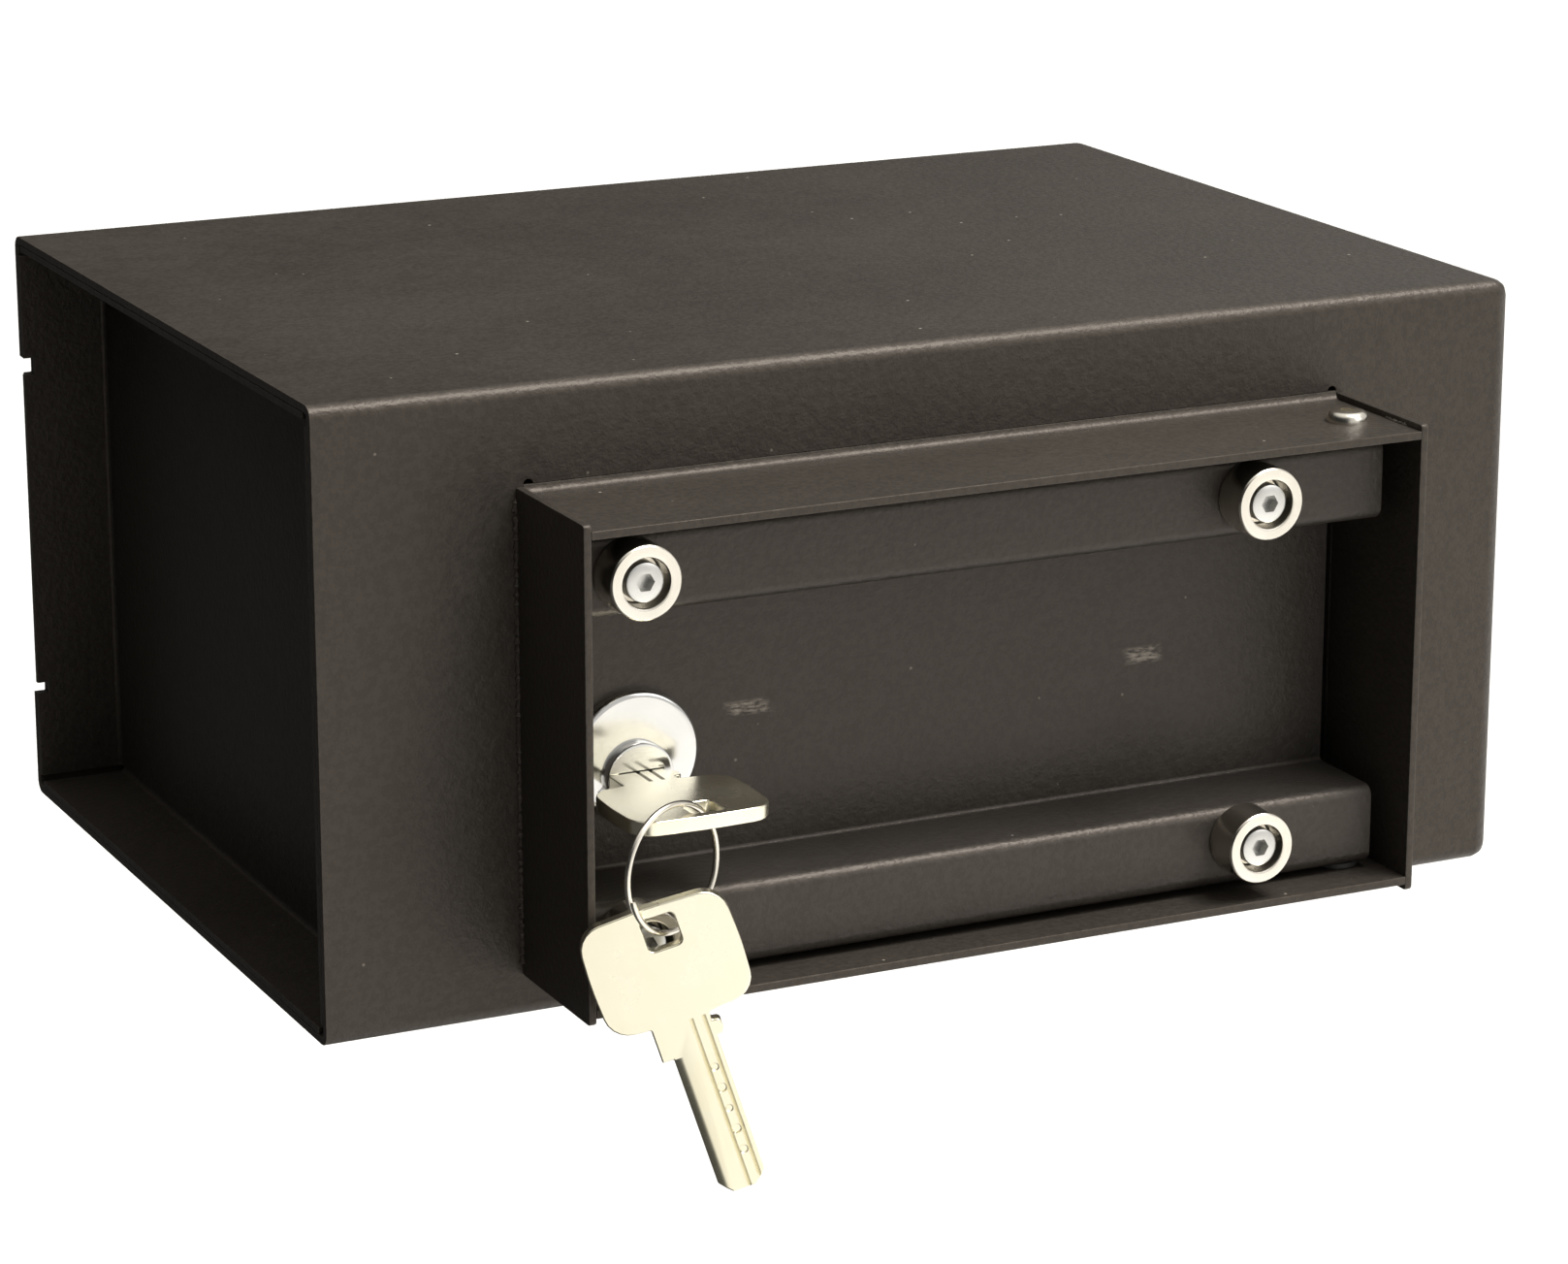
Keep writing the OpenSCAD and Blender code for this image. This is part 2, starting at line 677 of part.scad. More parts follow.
// A key lying flat, stop at the origin, blade along +Y
module key_blank()
    translate([0, 0, -key_t / 2]) linear_extrude(key_t) union() {
        key_outline(true);
        key_outline(false);
    }

module lock_key() color(brass) translate([key_x, key_stop_y, plug_z]) key_blank();

module key_ring() color(nickel)
    translate(ring_mid) rotate([90, 0, ring_turn]) rotate_extrude() translate([ring_r, 0]) circle(wire_r);

module spare_key() color(brass)
    translate(hang_at + [hang_side, 0, 0]) rotate([0, 0, spare_turn]) rotate([0, -spare_lean, 0])
        rotate([-90, 0, 0]) translate([-hole_side, neck_l + bow_l - hole_from_end, 0]) key_blank();

housing();
collar_side_left();
collar_side_right();
end_pan();
lock_catch();
door_stops();
door_panel();
pivot_screws();
pivot_nuts();
pivot_washers();
cover_posts();
post_screws();
post_nuts();
lock_body();
lock_nut();
chamber_cover();
driver_pins();
driver_springs();
lock_plug();
plug_pins();
cam();
cam_washer();
cam_screw();
lock_key();
key_ring();
spare_key();
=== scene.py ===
import json
import math
import random

import bmesh
import bpy
from mathutils import Matrix, Vector


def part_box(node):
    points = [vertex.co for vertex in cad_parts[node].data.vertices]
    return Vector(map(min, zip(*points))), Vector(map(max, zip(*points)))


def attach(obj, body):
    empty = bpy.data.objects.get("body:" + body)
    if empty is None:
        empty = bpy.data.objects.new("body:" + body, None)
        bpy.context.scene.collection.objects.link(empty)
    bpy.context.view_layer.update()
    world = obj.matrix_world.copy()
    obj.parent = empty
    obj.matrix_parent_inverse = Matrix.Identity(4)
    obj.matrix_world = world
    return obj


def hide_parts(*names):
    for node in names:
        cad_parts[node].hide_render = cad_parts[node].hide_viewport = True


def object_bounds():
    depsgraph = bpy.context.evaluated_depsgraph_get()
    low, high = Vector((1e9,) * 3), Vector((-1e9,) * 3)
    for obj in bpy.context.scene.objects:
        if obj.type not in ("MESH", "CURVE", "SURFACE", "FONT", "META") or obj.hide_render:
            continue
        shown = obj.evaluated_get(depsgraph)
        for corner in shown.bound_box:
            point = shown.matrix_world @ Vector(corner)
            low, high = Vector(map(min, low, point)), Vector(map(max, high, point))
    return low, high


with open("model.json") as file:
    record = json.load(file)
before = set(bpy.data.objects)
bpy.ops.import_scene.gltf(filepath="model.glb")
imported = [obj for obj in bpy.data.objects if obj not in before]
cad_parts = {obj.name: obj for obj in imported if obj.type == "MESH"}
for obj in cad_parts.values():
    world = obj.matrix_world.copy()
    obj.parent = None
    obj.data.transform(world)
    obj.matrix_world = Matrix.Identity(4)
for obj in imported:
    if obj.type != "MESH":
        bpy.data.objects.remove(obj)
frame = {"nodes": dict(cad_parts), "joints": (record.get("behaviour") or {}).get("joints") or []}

# A small wall box of folded steel: body, collar, stepped door, cam lock, posts and two keys.
# Metres throughout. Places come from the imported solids, sizes of details are named here.

CAD_BOX = [list(corner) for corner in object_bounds()]
MM = 0.001
TAU = 2 * math.pi

# Sheet metal
SHEET = 1.5 * MM
PAN_SHEET = 1.2 * MM
LONG_FOLD = 2.5 * MM
END_FOLD = 3.6 * MM
COLLAR_FOLD = 1.5 * MM
DOOR_FOLD = 0.8 * MM
SIDE_RISE = 1.2 * MM
PLATE_CORNER = 0.8 * MM
RELIEF_HOLE = 0.9 * MM
RAIL_HEIGHT = 15 * MM
RAIL_STEP = 18 * MM
RETURN_DEPTH = 14 * MM
PAN_RELIEF = 2.2 * MM
RIM_ROUND = 0.18 * MM

# Wall holes and rear notches
WALL_HOLES = [(x * MM, z * MM) for x in (-90, 90) for z in (-35, 35)]
WALL_HOLE = 3.25 * MM
NOTCHES = ((31.0 * MM, 3.3 * MM), (-35.0 * MM, 2.3 * MM))   # middle and height
NOTCH_DEPTH = 2.2 * MM
NOTCH_LAND = 0.6 * MM

# Fasteners
M4 = 1.95 * MM
M4_HOLE = 2.1 * MM
BUTTON_HEAD = 3.8 * MM
BUTTON_HEIGHT = 2.2 * MM
NUT_FLATS = 7 * MM
NUT_HEIGHT = 3.2 * MM
POST_R = 6.6 * MM
POST_BORE = 4.4 * MM
POST_BORE_DEPTH = 4.6 * MM
SCREW_HEAD = 3.5 * MM
SOCKET_FLATS = 3 * MM
SOCKET_DEPTH = 2 * MM
POST_EDGE = 0.3 * MM            # how far a post's rims are turned off
POST_EASE = 0.12 * MM
SEAT_CORNER = 0.25 * MM         # round at the foot of a post's bore
BORE_LEAD = 0.5 * MM            # lead-in at the mouth of a post's bore
SCREW_POINT = 0.4 * MM          # chamfer at a screw's tip
DOME_FLAT = 1.9 * MM            # radius of a button head's flat top
DOME_TOP = 2.35 * MM            # radius where its dome begins
DOME_EASE = 0.12 * MM
DOME_SWELL = 0.35 * MM
PIVOT_GAP = 1.1 * MM
BUTTON_SOCKET = 2.5 * MM
BUTTON_SOCKET_DEPTH = 1.3 * MM
NUT_CHAMFER = 30                # degrees

# Lock
LOCK_BODY = 9.75 * MM
PLUG_HEAD = 6.4 * MM
PLUG = 5.25 * MM
PLUG_BORE = 5.3 * MM
ROSE_RIM = 1.1 * MM
ROSE_THICK = 2 * MM
ROSE_EASE = 0.04 * MM
THREAD_PITCH = 1.0 * MM
THREAD_DEPTH = 0.35 * MM
THREAD_PLAIN = 6 * MM           # body left without thread, 1 mm of it in front
MARK_PLACE = 8.2 * MM           # middle of the index mark, from the lock's axis
MARK_LENGTH = 1.1 * MM          # half of it, as the width below
MARK_WIDTH = 0.22 * MM
MARK_DEPTH = 0.25 * MM
MARK_TURN = math.radians(215)
SLOT_SLACK = 0.15 * MM
TANG = 3 * MM                   # half the side of the square behind the plug

# Keys and ring
BOW_WIDTH = 27 * MM
BOW_LENGTH = 21.3 * MM
BOW_CORNER = 4.6 * MM
BOW_PULL = 0.55 * MM           # how far the bow's corners sit inside its sides
KEY_THICK = 2.6 * MM
NECK = 6.3 * MM
BLADE = 26.5 * MM
BLADE_WIDTH = 8.4 * MM
KEY_HOLE = 6 * MM
HOLE_FROM_END = 5 * MM
HOLE_SIDE = 1 * MM
SHOULDER = 2 * MM
NUB = 1.5 * MM
NUB_FROM_STOP = 3.2 * MM
KEY_EDGE = 0.3 * MM
SPARE_TURN = math.radians(-20)
SPARE_LEAN = math.radians(18)
SPARE_SIDE = 1.4 * MM
WIRE = 0.55 * MM
RING_START = math.radians(196)
RING_TURNS = math.radians(372)
RING_ASIDE = 0.42 * MM          # how far the ring's two ends lie to each side
RING_NIP = 0.93                 # between its ends the wire lies this much nearer the ring's plane
RING_STEPS = 96
SPRING_WIRE = 0.16 * MM
SPRING_TURNS = 7
SPRING_STEPS = 16
SPRING_CROWD = 0.06             # brings the coils closer at both ends and in the middle
BEAD_PITCH = 0.45 * MM
BEAD_WANDER = 0.12              # millimetres aside, and share of the radius
SIDE_BEAD = 0.75 * MM           # radius of the long weld beads
CORNER_BEAD = 0.5 * MM
GROOVE_WIDTH = 0.8 * MM
GROOVE_DEPTH = 0.36 * MM
GROOVES = {1: (-0.9 * MM, 1.5 * MM), -1: (0.9 * MM, 3.1 * MM)}     # by face of the key
DIMPLE_DEPTHS = [d * MM for d in (0.22, 0.36, 0.18, 0.4, 0.28)]
DIMPLE_PITCH = 4 * MM
DIMPLE_FIRST = 3.6 * MM
DIMPLE_WIDTH = 0.55 * MM        # radius of a dimple, less its depth
DIMPLE_FLAT = 0.75              # share of the radius that is flat
FLANK_WIDTH = 1.7 * MM

# Rubbed patches on the door: middle x, middle z, half width, half height, slant
RUB_PATCHES = ((-40.9 * MM, -4.5 * MM, 4.0 * MM, 1.3 * MM, 0.55),
               (39.2 * MM, -5.0 * MM, 3.6 * MM, 1.5 * MM, 0.25))

ROUND = 64          # sides of a turned piece
FOLD_STEPS = 6      # facets in a quarter of a fold

# Heights of the surface textures
PEEL_HEIGHT = 0.16 * MM
MARK_HEIGHT = 0.02 * MM

# Studio
LENS = 112.2
CAMERA_PLACE = (-0.3950, -0.9129, 0.2441)
CAMERA_YAW = math.radians(25.86)
CAMERA_PITCH = math.radians(15.89)
FLOOR_REACH = 14.0
FLOOR_DROP = 0.45               # from the lowest key to the floor
SUN_WAY = (-0.25, 0.35, -1.0)
SUN_STRENGTH = 2.5
SUN_SPREAD = math.radians(30)
WORLD_STRENGTH = 0.75
DARK_SIDE = (0.03, 0.03, 0.03, 1)


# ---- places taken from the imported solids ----

def between(a, b):
    return (a + b) / 2


HOUSE_LO, HOUSE_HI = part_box("housing")
SIDE_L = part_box("collar_side_left")
SIDE_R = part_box("collar_side_right")
DOOR_LO, DOOR_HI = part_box("door_panel")
PAN_LO, PAN_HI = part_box("end_pan")
LOCK_LO, LOCK_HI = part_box("lock_body")
PLUG_LO, PLUG_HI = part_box("lock_plug")
KEY_LO, KEY_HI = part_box("lock_key")
RING_LO, RING_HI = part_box("key_ring")
POST_LO, POST_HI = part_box("cover_posts")
SCREW_LO, SCREW_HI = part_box("post_screws")
PIVOT_LO, PIVOT_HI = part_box("pivot_screws")

Y_FRONT = SIDE_L[1].y
Y_COLLAR = SIDE_L[0].y
C_LEFT, IN_LEFT = SIDE_L[0].x, SIDE_L[1].x
IN_RIGHT, C_RIGHT = SIDE_R[0].x, SIDE_R[1].x
C_LOW, C_HIGH = SIDE_L[0].z + SIDE_RISE, SIDE_L[1].z - SIDE_RISE
Y_RAIL = DOOR_LO.y
Y_PANEL = Y_RAIL + RAIL_STEP
RECESS_LOW = DOOR_LO.z + RAIL_HEIGHT
RECESS_HIGH = DOOR_HI.z - RAIL_HEIGHT
POST_PLACES = [(x, z) for x in (POST_LO.x + POST_R, POST_HI.x - POST_R)
               for z in (POST_LO.z + POST_R, POST_HI.z - POST_R)]
PIVOT_X = between(PIVOT_LO.x, PIVOT_HI.x)
PIVOT_Y = between(PIVOT_LO.y, PIVOT_HI.y)
LOCK_X = between(LOCK_LO.x, LOCK_HI.x)
LOCK_Z = between(LOCK_LO.z, LOCK_HI.z)
ROSE_R = (LOCK_HI.x - LOCK_LO.x) / 2
PLUG_Z = between(KEY_LO.z, KEY_HI.z)
KEY_STOP = KEY_HI.y - BLADE


# ---- mesh code ----

def axes(along):
    """Turns (across, up, along) into the row frame."""
    return {"x": Matrix(((0, 0, 1), (1, 0, 0), (0, 1, 0))),
            "y": Matrix(((1, 0, 0), (0, 0, 1), (0, 1, 0))),
            "z": Matrix(((1, 0, 0), (0, 1, 0), (0, 0, 1)))}[along].to_4x4()


def add_prism(bm, outline, along, start, end):
    """An outline, drawn across and up, run along an axis."""
    turn = axes(along)
    near = [bm.verts.new(turn @ Vector((u, v, start))) for u, v in outline]
    far = [bm.verts.new(turn @ Vector((u, v, end))) for u, v in outline]
    bm.faces.new(near)
    bm.faces.new(list(reversed(far)))
    for i, vert in enumerate(near):
        j = (i + 1) % len(near)
        bm.faces.new((near[j], vert, far[i], far[j]))


def add_block(bm, low, high):
    add_prism(bm, oblong(low[0], high[0], low[1], high[1]), "z", low[2], high[2])


def add_lathe(bm, profile, along, centre, steps=ROUND):
    """A closed profile of (radius, distance) turned round an axis. A radius of 0 closes to a point."""
    turn = Matrix.Translation(centre) @ axes(along)
    rings = []
    for radius, run in profile:
        if radius < 1e-7:
            rings.append([bm.verts.new(turn @ Vector((0, 0, run)))])
        else:
            rings.append([bm.verts.new(turn @ Vector((radius * math.cos(TAU * i / steps),
                                                      radius * math.sin(TAU * i / steps), run)))
                          for i in range(steps)])
    for a, b in zip(rings, rings[1:] + rings[:1]):
        for i in range(steps):
            j = (i + 1) % steps
            face = list(dict.fromkeys((a[i % len(a)], a[j % len(a)], b[j % len(b)], b[i % len(b)])))
            if len(face) > 2:
                bm.faces.new(face)


def add_tube(bm, path, radii, sides=12):
    """A round bar that follows a path, with its own radius at each point."""
    rings = []
    up = Vector((0, 0, 1))
    for i, point in enumerate(path):
        ahead = (path[min(i + 1, len(path) - 1)] - path[max(i - 1, 0)]).normalized()
        if abs(ahead.dot(up)) > 0.95:
            up = Vector((0, 1, 0))
        side = ahead.cross(up).normalized()
        top = side.cross(ahead).normalized()
        up = top
        spokes = [side * math.cos(TAU * k / sides) + top * math.sin(TAU * k / sides) for k in range(sides)]
        rings.append([bm.verts.new(point + radii[i] * spoke) for spoke in spokes])
    for a, b in zip(rings, rings[1:]):
        for k in range(sides):
            n = (k + 1) % sides
            bm.faces.new((a[k], a[n], b[n], b[k]))
    bm.faces.new(rings[0])
    bm.faces.new(list(reversed(rings[-1])))


def rounded(points, radii, steps=FOLD_STEPS):
    """An outline or line with its corners rounded. A radius of 0 keeps a corner."""
    out = []
    count = len(points)
    for i, point in enumerate(points):
        here = Vector(point)
        radius = radii[i] if isinstance(radii, (list, tuple)) else radii
        back = Vector(points[i - 1]) - here
        on = Vector(points[(i + 1) % count]) - here
        if radius <= 0 or back.length < 1e-9 or on.length < 1e-9:
            out.append(tuple(here))
            continue
        back.normalize()
        on.normalize()
        half = math.acos(max(-1, min(1, back.dot(on)))) / 2
        if half > math.pi / 2 - 1e-3:
            out.append(tuple(here))
            continue
        reach = radius / math.tan(half)
        centre = here + (back + on).normalized() * (radius / math.sin(half))
        first = here + back * reach - centre
        last = here + on * reach - centre
        turn = math.atan2(first.x * last.y - first.y * last.x, first.dot(last))
        for k in range(steps + 1):
            spin = Matrix.Rotation(turn * k / steps, 2)
            out.append(tuple(centre + spin @ first))
    return out


def oblong(x0, x1, y0, y1):
    return [(x0, y0), (x1, y0), (x1, y1), (x0, y1)]


def hexagon(flats, turn=0.0):
    """A hexagon with two sides level, by the distance over its flats."""
    reach = flats / math.sqrt(3)
    return [(reach * math.cos(turn + TAU * i / 6), reach * math.sin(turn + TAU * i / 6)) for i in range(6)]


def circle(x, y, radius, steps=32):
    return [(x + radius * math.cos(TAU * i / steps), y + radius * math.sin(TAU * i / steps))
            for i in range(steps)]


def as_object(name, bm):
    bmesh.ops.recalc_face_normals(bm, faces=bm.faces)
    mesh = bpy.data.meshes.new(name)
    bm.to_mesh(mesh)
    bm.free()
    obj = bpy.data.objects.new(name, mesh)
    bpy.context.scene.collection.objects.link(obj)
    return obj


def settle(obj):
    """Makes the modifiers' result the object's own mesh."""
    ready = obj.evaluated_get(bpy.context.evaluated_depsgraph_get())
    mesh = bpy.data.meshes.new_from_object(ready)
    obj.modifiers.clear()
    obj.data = mesh


def cut_from(obj, cutter_bm):
    cutter = as_object("cutter", cutter_bm)
    step = obj.modifiers.new("cut", "BOOLEAN")
    step.operation = "DIFFERENCE"
    step.solver = "EXACT"
    step.object = cutter
    settle(obj)
    bpy.data.objects.remove(cutter)


def round_rims(obj, width=RIM_ROUND, steps=2, angle=50):
    step = obj.modifiers.new("rims", "BEVEL")
    step.width = width
    step.segments = steps
    step.limit_method = "ANGLE"
    step.angle_limit = math.radians(angle)
    step.use_clamp_overlap = True
    settle(obj)


def smooth(obj, angle=32):
    """Rounds the shading over folds and rims, and keeps flat faces flat."""
    obj.data.polygons.foreach_set("use_smooth", [True] * len(obj.data.polygons))
    obj.data.set_sharp_from_angle(angle=math.radians(angle))
    step = obj.modifiers.new("normals", "WEIGHTED_NORMAL")
    step.keep_sharp = True
    step.weight = 100
    settle(obj)


def finish_piece(obj, body, material, nodes=(), rims=RIM_ROUND, rim_angle=50):
    """Rounds the rims, gives the piece its finish and hangs it on its body."""
    if rims:
        round_rims(obj, rims, angle=rim_angle)
    smooth(obj)
    obj.data.materials.clear()
    obj.data.materials.append(material)
    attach(obj, body)
    if nodes:
        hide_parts(*nodes)
    return obj


# ---- materials ----

def add(tree, kind, inputs=None, **settings):
    """A new node with its own settings, and values or links for its sockets."""
    made = tree.nodes.new(kind)
    for key, value in settings.items():
        setattr(made, key, value)
    for key, value in (inputs or {}).items():
        if isinstance(value, bpy.types.NodeSocket):
            tree.links.new(value, made.inputs[key])
        else:
            made.inputs[key].default_value = value
    return made


def math_node(tree, operation, a, b=0.0, clamp=False):
    return add(tree, "ShaderNodeMath", {0: a, 1: b}, operation=operation, use_clamp=clamp).outputs[0]


def ramp(tree, value, low, high, start=0.0, end=1.0):
    """Eases a value from start to end while it goes from low to high."""
    return add(tree, "ShaderNodeMapRange",
               {"Value": value, "From Min": low, "From Max": high, "To Min": start, "To Max": end},
               interpolation_type="SMOOTHSTEP").outputs[0]


def noise(tree, vector, scale, detail=2.0, rough=0.5):
    return add(tree, "ShaderNodeTexNoise",
               {"Vector": vector, "Scale": scale, "Detail": detail, "Roughness": rough}).outputs[0]


def mix_colour(tree, factor, a, b):
    made = add(tree, "ShaderNodeMix", {0: factor, 6: a, 7: b}, data_type="RGBA")
    return made.outputs[2]


def new_group(name, inputs, outputs):
    tree = bpy.data.node_groups.new(name, "ShaderNodeTree")
    for label, kind, default in inputs:
        socket = tree.interface.new_socket(label, in_out="INPUT", socket_type=kind)
        if default is not None:
            socket.default_value = default
    for label, kind in outputs:
        tree.interface.new_socket(label, in_out="OUTPUT", socket_type=kind)
    return tree, tree.nodes.new("NodeGroupInput"), tree.nodes.new("NodeGroupOutput")


def place_group(tree, group, inputs):
    return add(tree, "ShaderNodeGroup", inputs, node_tree=group)


VECTOR, FLOAT = "NodeSocketVector", "NodeSocketFloat"


def orange_peel_group():
    """Rounded pimples of a powder coat: broad waves, pimples and a fine grain on them."""
    tree, took, gives = new_group("orange_peel", [("Vector", VECTOR, None), ("Size", FLOAT, 1.0)],
                                  [("Height", FLOAT), ("Grain", FLOAT)])
    place = took.outputs["Vector"]
    waves = noise(tree, place, 190.0, 1.0, 0.4)
    pimples = noise(tree, place, 820.0, 1.5, 0.5)
    fine = noise(tree, place, 2300.0, 2.0, 0.6)
    rough = math_node(tree, "ADD", math_node(tree, "MULTIPLY", waves, 0.15),
                      math_node(tree, "MULTIPLY", fine, 0.45))
    height = math_node(tree, "MULTIPLY", math_node(tree, "ADD", rough, pimples), took.outputs["Size"])
    tree.links.new(height, gives.inputs["Height"])
    both = math_node(tree, "ADD", math_node(tree, "MULTIPLY", pimples, 0.6),
                     math_node(tree, "MULTIPLY", fine, 0.4))
    tree.links.new(ramp(tree, both, 0.36, 0.64), gives.inputs["Grain"])
    return tree


def specks_group():
    """Small pale dust specks, more of them on faces that look up."""
    tree, took, gives = new_group("dust_specks",
                                  [("Vector", VECTOR, None), ("Scale", FLOAT, 260.0), ("Share", FLOAT, 0.05)],
                                  [("Mask", FLOAT)])
    cells = add(tree, "ShaderNodeTexVoronoi",
                {"Vector": took.outputs["Vector"], "Scale": took.outputs["Scale"]})
    pick = add(tree, "ShaderNodeSeparateColor", {0: cells.outputs["Color"]}).outputs[0]
    chosen = math_node(tree, "LESS_THAN", pick, took.outputs["Share"])
    dot = ramp(tree, cells.outputs["Distance"], 0.09, 0.03)
    normal = add(tree, "ShaderNodeNewGeometry").outputs["Normal"]
    up = add(tree, "ShaderNodeSeparateXYZ", {0: normal}).outputs[2]
    facing = ramp(tree, up, -0.2, 0.9, 0.35, 1.0)
    mask = math_node(tree, "MULTIPLY", math_node(tree, "MULTIPLY", chosen, dot), facing)
    tree.links.new(mask, gives.inputs["Mask"])
    return tree


def edge_wear_and_highlight_group():
    """Paler convex edges, broken up by noise: partly edge wear, partly a painted highlight along the rims."""
    tree, took, gives = new_group("edge_wear_and_highlight",
                                  [("Vector", VECTOR, None), ("Reach", FLOAT, 0.3 * MM),
                                   ("Strength", FLOAT, 0.5)],
                                  [("Mask", FLOAT)])
    rounded_off = add(tree, "ShaderNodeBevel", {"Radius": took.outputs["Reach"]}, samples=3).outputs[0]
    flat = add(tree, "ShaderNodeNewGeometry").outputs["Normal"]
    agree = add(tree, "ShaderNodeVectorMath", {0: rounded_off, 1: flat},
                operation="DOT_PRODUCT").outputs["Value"]
    edge = ramp(tree, agree, 0.985, 0.86)
    broken = ramp(tree, noise(tree, took.outputs["Vector"], 420.0, 3.0, 0.6), 0.3, 0.62)
    mask = math_node(tree, "MULTIPLY", math_node(tree, "MULTIPLY", edge, broken), took.outputs["Strength"])
    tree.links.new(mask, gives.inputs["Mask"])
    return tree


def handling_group():
    """Slow changes of gloss from handling, with faint scuffs."""
    tree, took, gives = new_group("handling",
                                  [("Vector", VECTOR, None), ("Base", FLOAT, 0.4), ("Spread", FLOAT, 0.1)],
                                  [("Roughness", FLOAT), ("Tone", FLOAT)])
    slow = noise(tree, took.outputs["Vector"], 16.0, 3.0, 0.55)
    quick = noise(tree, took.outputs["Vector"], 160.0, 2.0, 0.5)
    both = math_node(tree, "MULTIPLY_ADD", slow, 0.7)
    tree.links.new(math_node(tree, "MULTIPLY", quick, 0.3), both.node.inputs[2])
    centred = math_node(tree, "SUBTRACT", both, 0.5)
    swing = math_node(tree, "MULTIPLY", centred, took.outputs["Spread"])
    tree.links.new(math_node(tree, "MULTIPLY_ADD", swing, 2.0), gives.inputs["Roughness"])
    tree.links.new(took.outputs["Base"], gives.inputs["Roughness"].links[0].from_node.inputs[2])
    tree.links.new(ramp(tree, both, 0.3, 0.7), gives.inputs["Tone"])
    return tree


def turned_group():
    """Fine rings left by a lathe, round the piece's own Y axis."""
    tree, took, gives = new_group("turned_rings", [("Vector", VECTOR, None), ("Pitch", FLOAT, 5200.0)],
                                  [("Height", FLOAT), ("Tone", FLOAT)])
    parts = add(tree, "ShaderNodeSeparateXYZ", {0: took.outputs["Vector"]})
    square = math_node(tree, "ADD", math_node(tree, "MULTIPLY", parts.outputs[0], parts.outputs[0]),
                       math_node(tree, "MULTIPLY", parts.outputs[2], parts.outputs[2]))
    radius = math_node(tree, "SQRT", square)
    spaced = add(tree, "ShaderNodeCombineXYZ", {0: radius, 1: parts.outputs[1]}).outputs[0]
    rings = noise(tree, spaced, took.outputs["Pitch"], 2.0, 0.6)
    tree.links.new(rings, gives.inputs["Height"])
    tree.links.new(ramp(tree, rings, 0.3, 0.7), gives.inputs["Tone"])
    return tree


def milled_group():
    """Straight milling and drawing lines along the piece's own Y axis."""
    tree, took, gives = new_group("milled_lines", [("Vector", VECTOR, None)],
                                  [("Height", FLOAT), ("Tone", FLOAT)])
    stretched = add(tree, "ShaderNodeVectorMath", {0: took.outputs["Vector"], 1: (6000.0, 160.0, 6000.0)},
                    operation="MULTIPLY").outputs[0]
    lines = noise(tree, stretched, 1.0, 3.0, 0.6)
    tree.links.new(lines, gives.inputs["Height"])
    tree.links.new(ramp(tree, lines, 0.32, 0.68), gives.inputs["Tone"])
    return tree


def rub_marks_group():
    """Two small chalky rubbed patches on the front of the door's middle panel."""
    tree, took, gives = new_group("rub_marks", [("Vector", VECTOR, None)], [("Mask", FLOAT)])
    parts = add(tree, "ShaderNodeSeparateXYZ", {0: took.outputs["Vector"]})
    total = None
    for x, z, half_x, half_z, slant in RUB_PATCHES:
        across = math_node(tree, "SUBTRACT", parts.outputs[0], x)
        leaned = math_node(tree, "MULTIPLY_ADD", parts.outputs[2], slant)
        tree.links.new(math_node(tree, "ADD", across, -slant * z), leaned.node.inputs[2])
        wide = math_node(tree, "DIVIDE", math_node(tree, "ABSOLUTE", leaned), half_x)
        above = math_node(tree, "SUBTRACT", parts.outputs[2], z)
        tall = math_node(tree, "DIVIDE", math_node(tree, "ABSOLUTE", above), half_z)
        inside = ramp(tree, math_node(tree, "MAXIMUM", wide, tall), 1.3, 0.45)
        total = inside if total is None else math_node(tree, "ADD", total, inside)
    front = math_node(tree, "LESS_THAN", parts.outputs[1], Y_PANEL + SHEET / 2)
    streaks = add(tree, "ShaderNodeVectorMath", {0: took.outputs["Vector"], 1: (420.0, 900.0, 1500.0)},
                  operation="MULTIPLY").outputs[0]
    speckle = ramp(tree, noise(tree, streaks, 1.0, 3.0, 0.6), 0.36, 0.66)
    mask = math_node(tree, "MULTIPLY", math_node(tree, "MULTIPLY", total, front), speckle)
    tree.links.new(mask, gives.inputs["Mask"])
    return tree


ORANGE_PEEL = orange_peel_group()
SPECKS = specks_group()
EDGE_WEAR_AND_HIGHLIGHT = edge_wear_and_highlight_group()
HANDLING = handling_group()
TURNED = turned_group()
MILLED = milled_group()
RUB_MARKS = rub_marks_group()


def new_material(name):
    material = bpy.data.materials.new(name)
    material.use_nodes = True
    tree = material.node_tree
    shader = tree.nodes["Principled BSDF"]
    place = add(tree, "ShaderNodeTexCoord").outputs["Object"]
    return material, tree, shader, place


def bump(tree, shader, height, strength, distance):
    made = add(tree, "ShaderNodeBump", {"Height": height, "Strength": strength, "Distance": distance})
    tree.links.new(made.outputs[0], shader.inputs["Normal"])


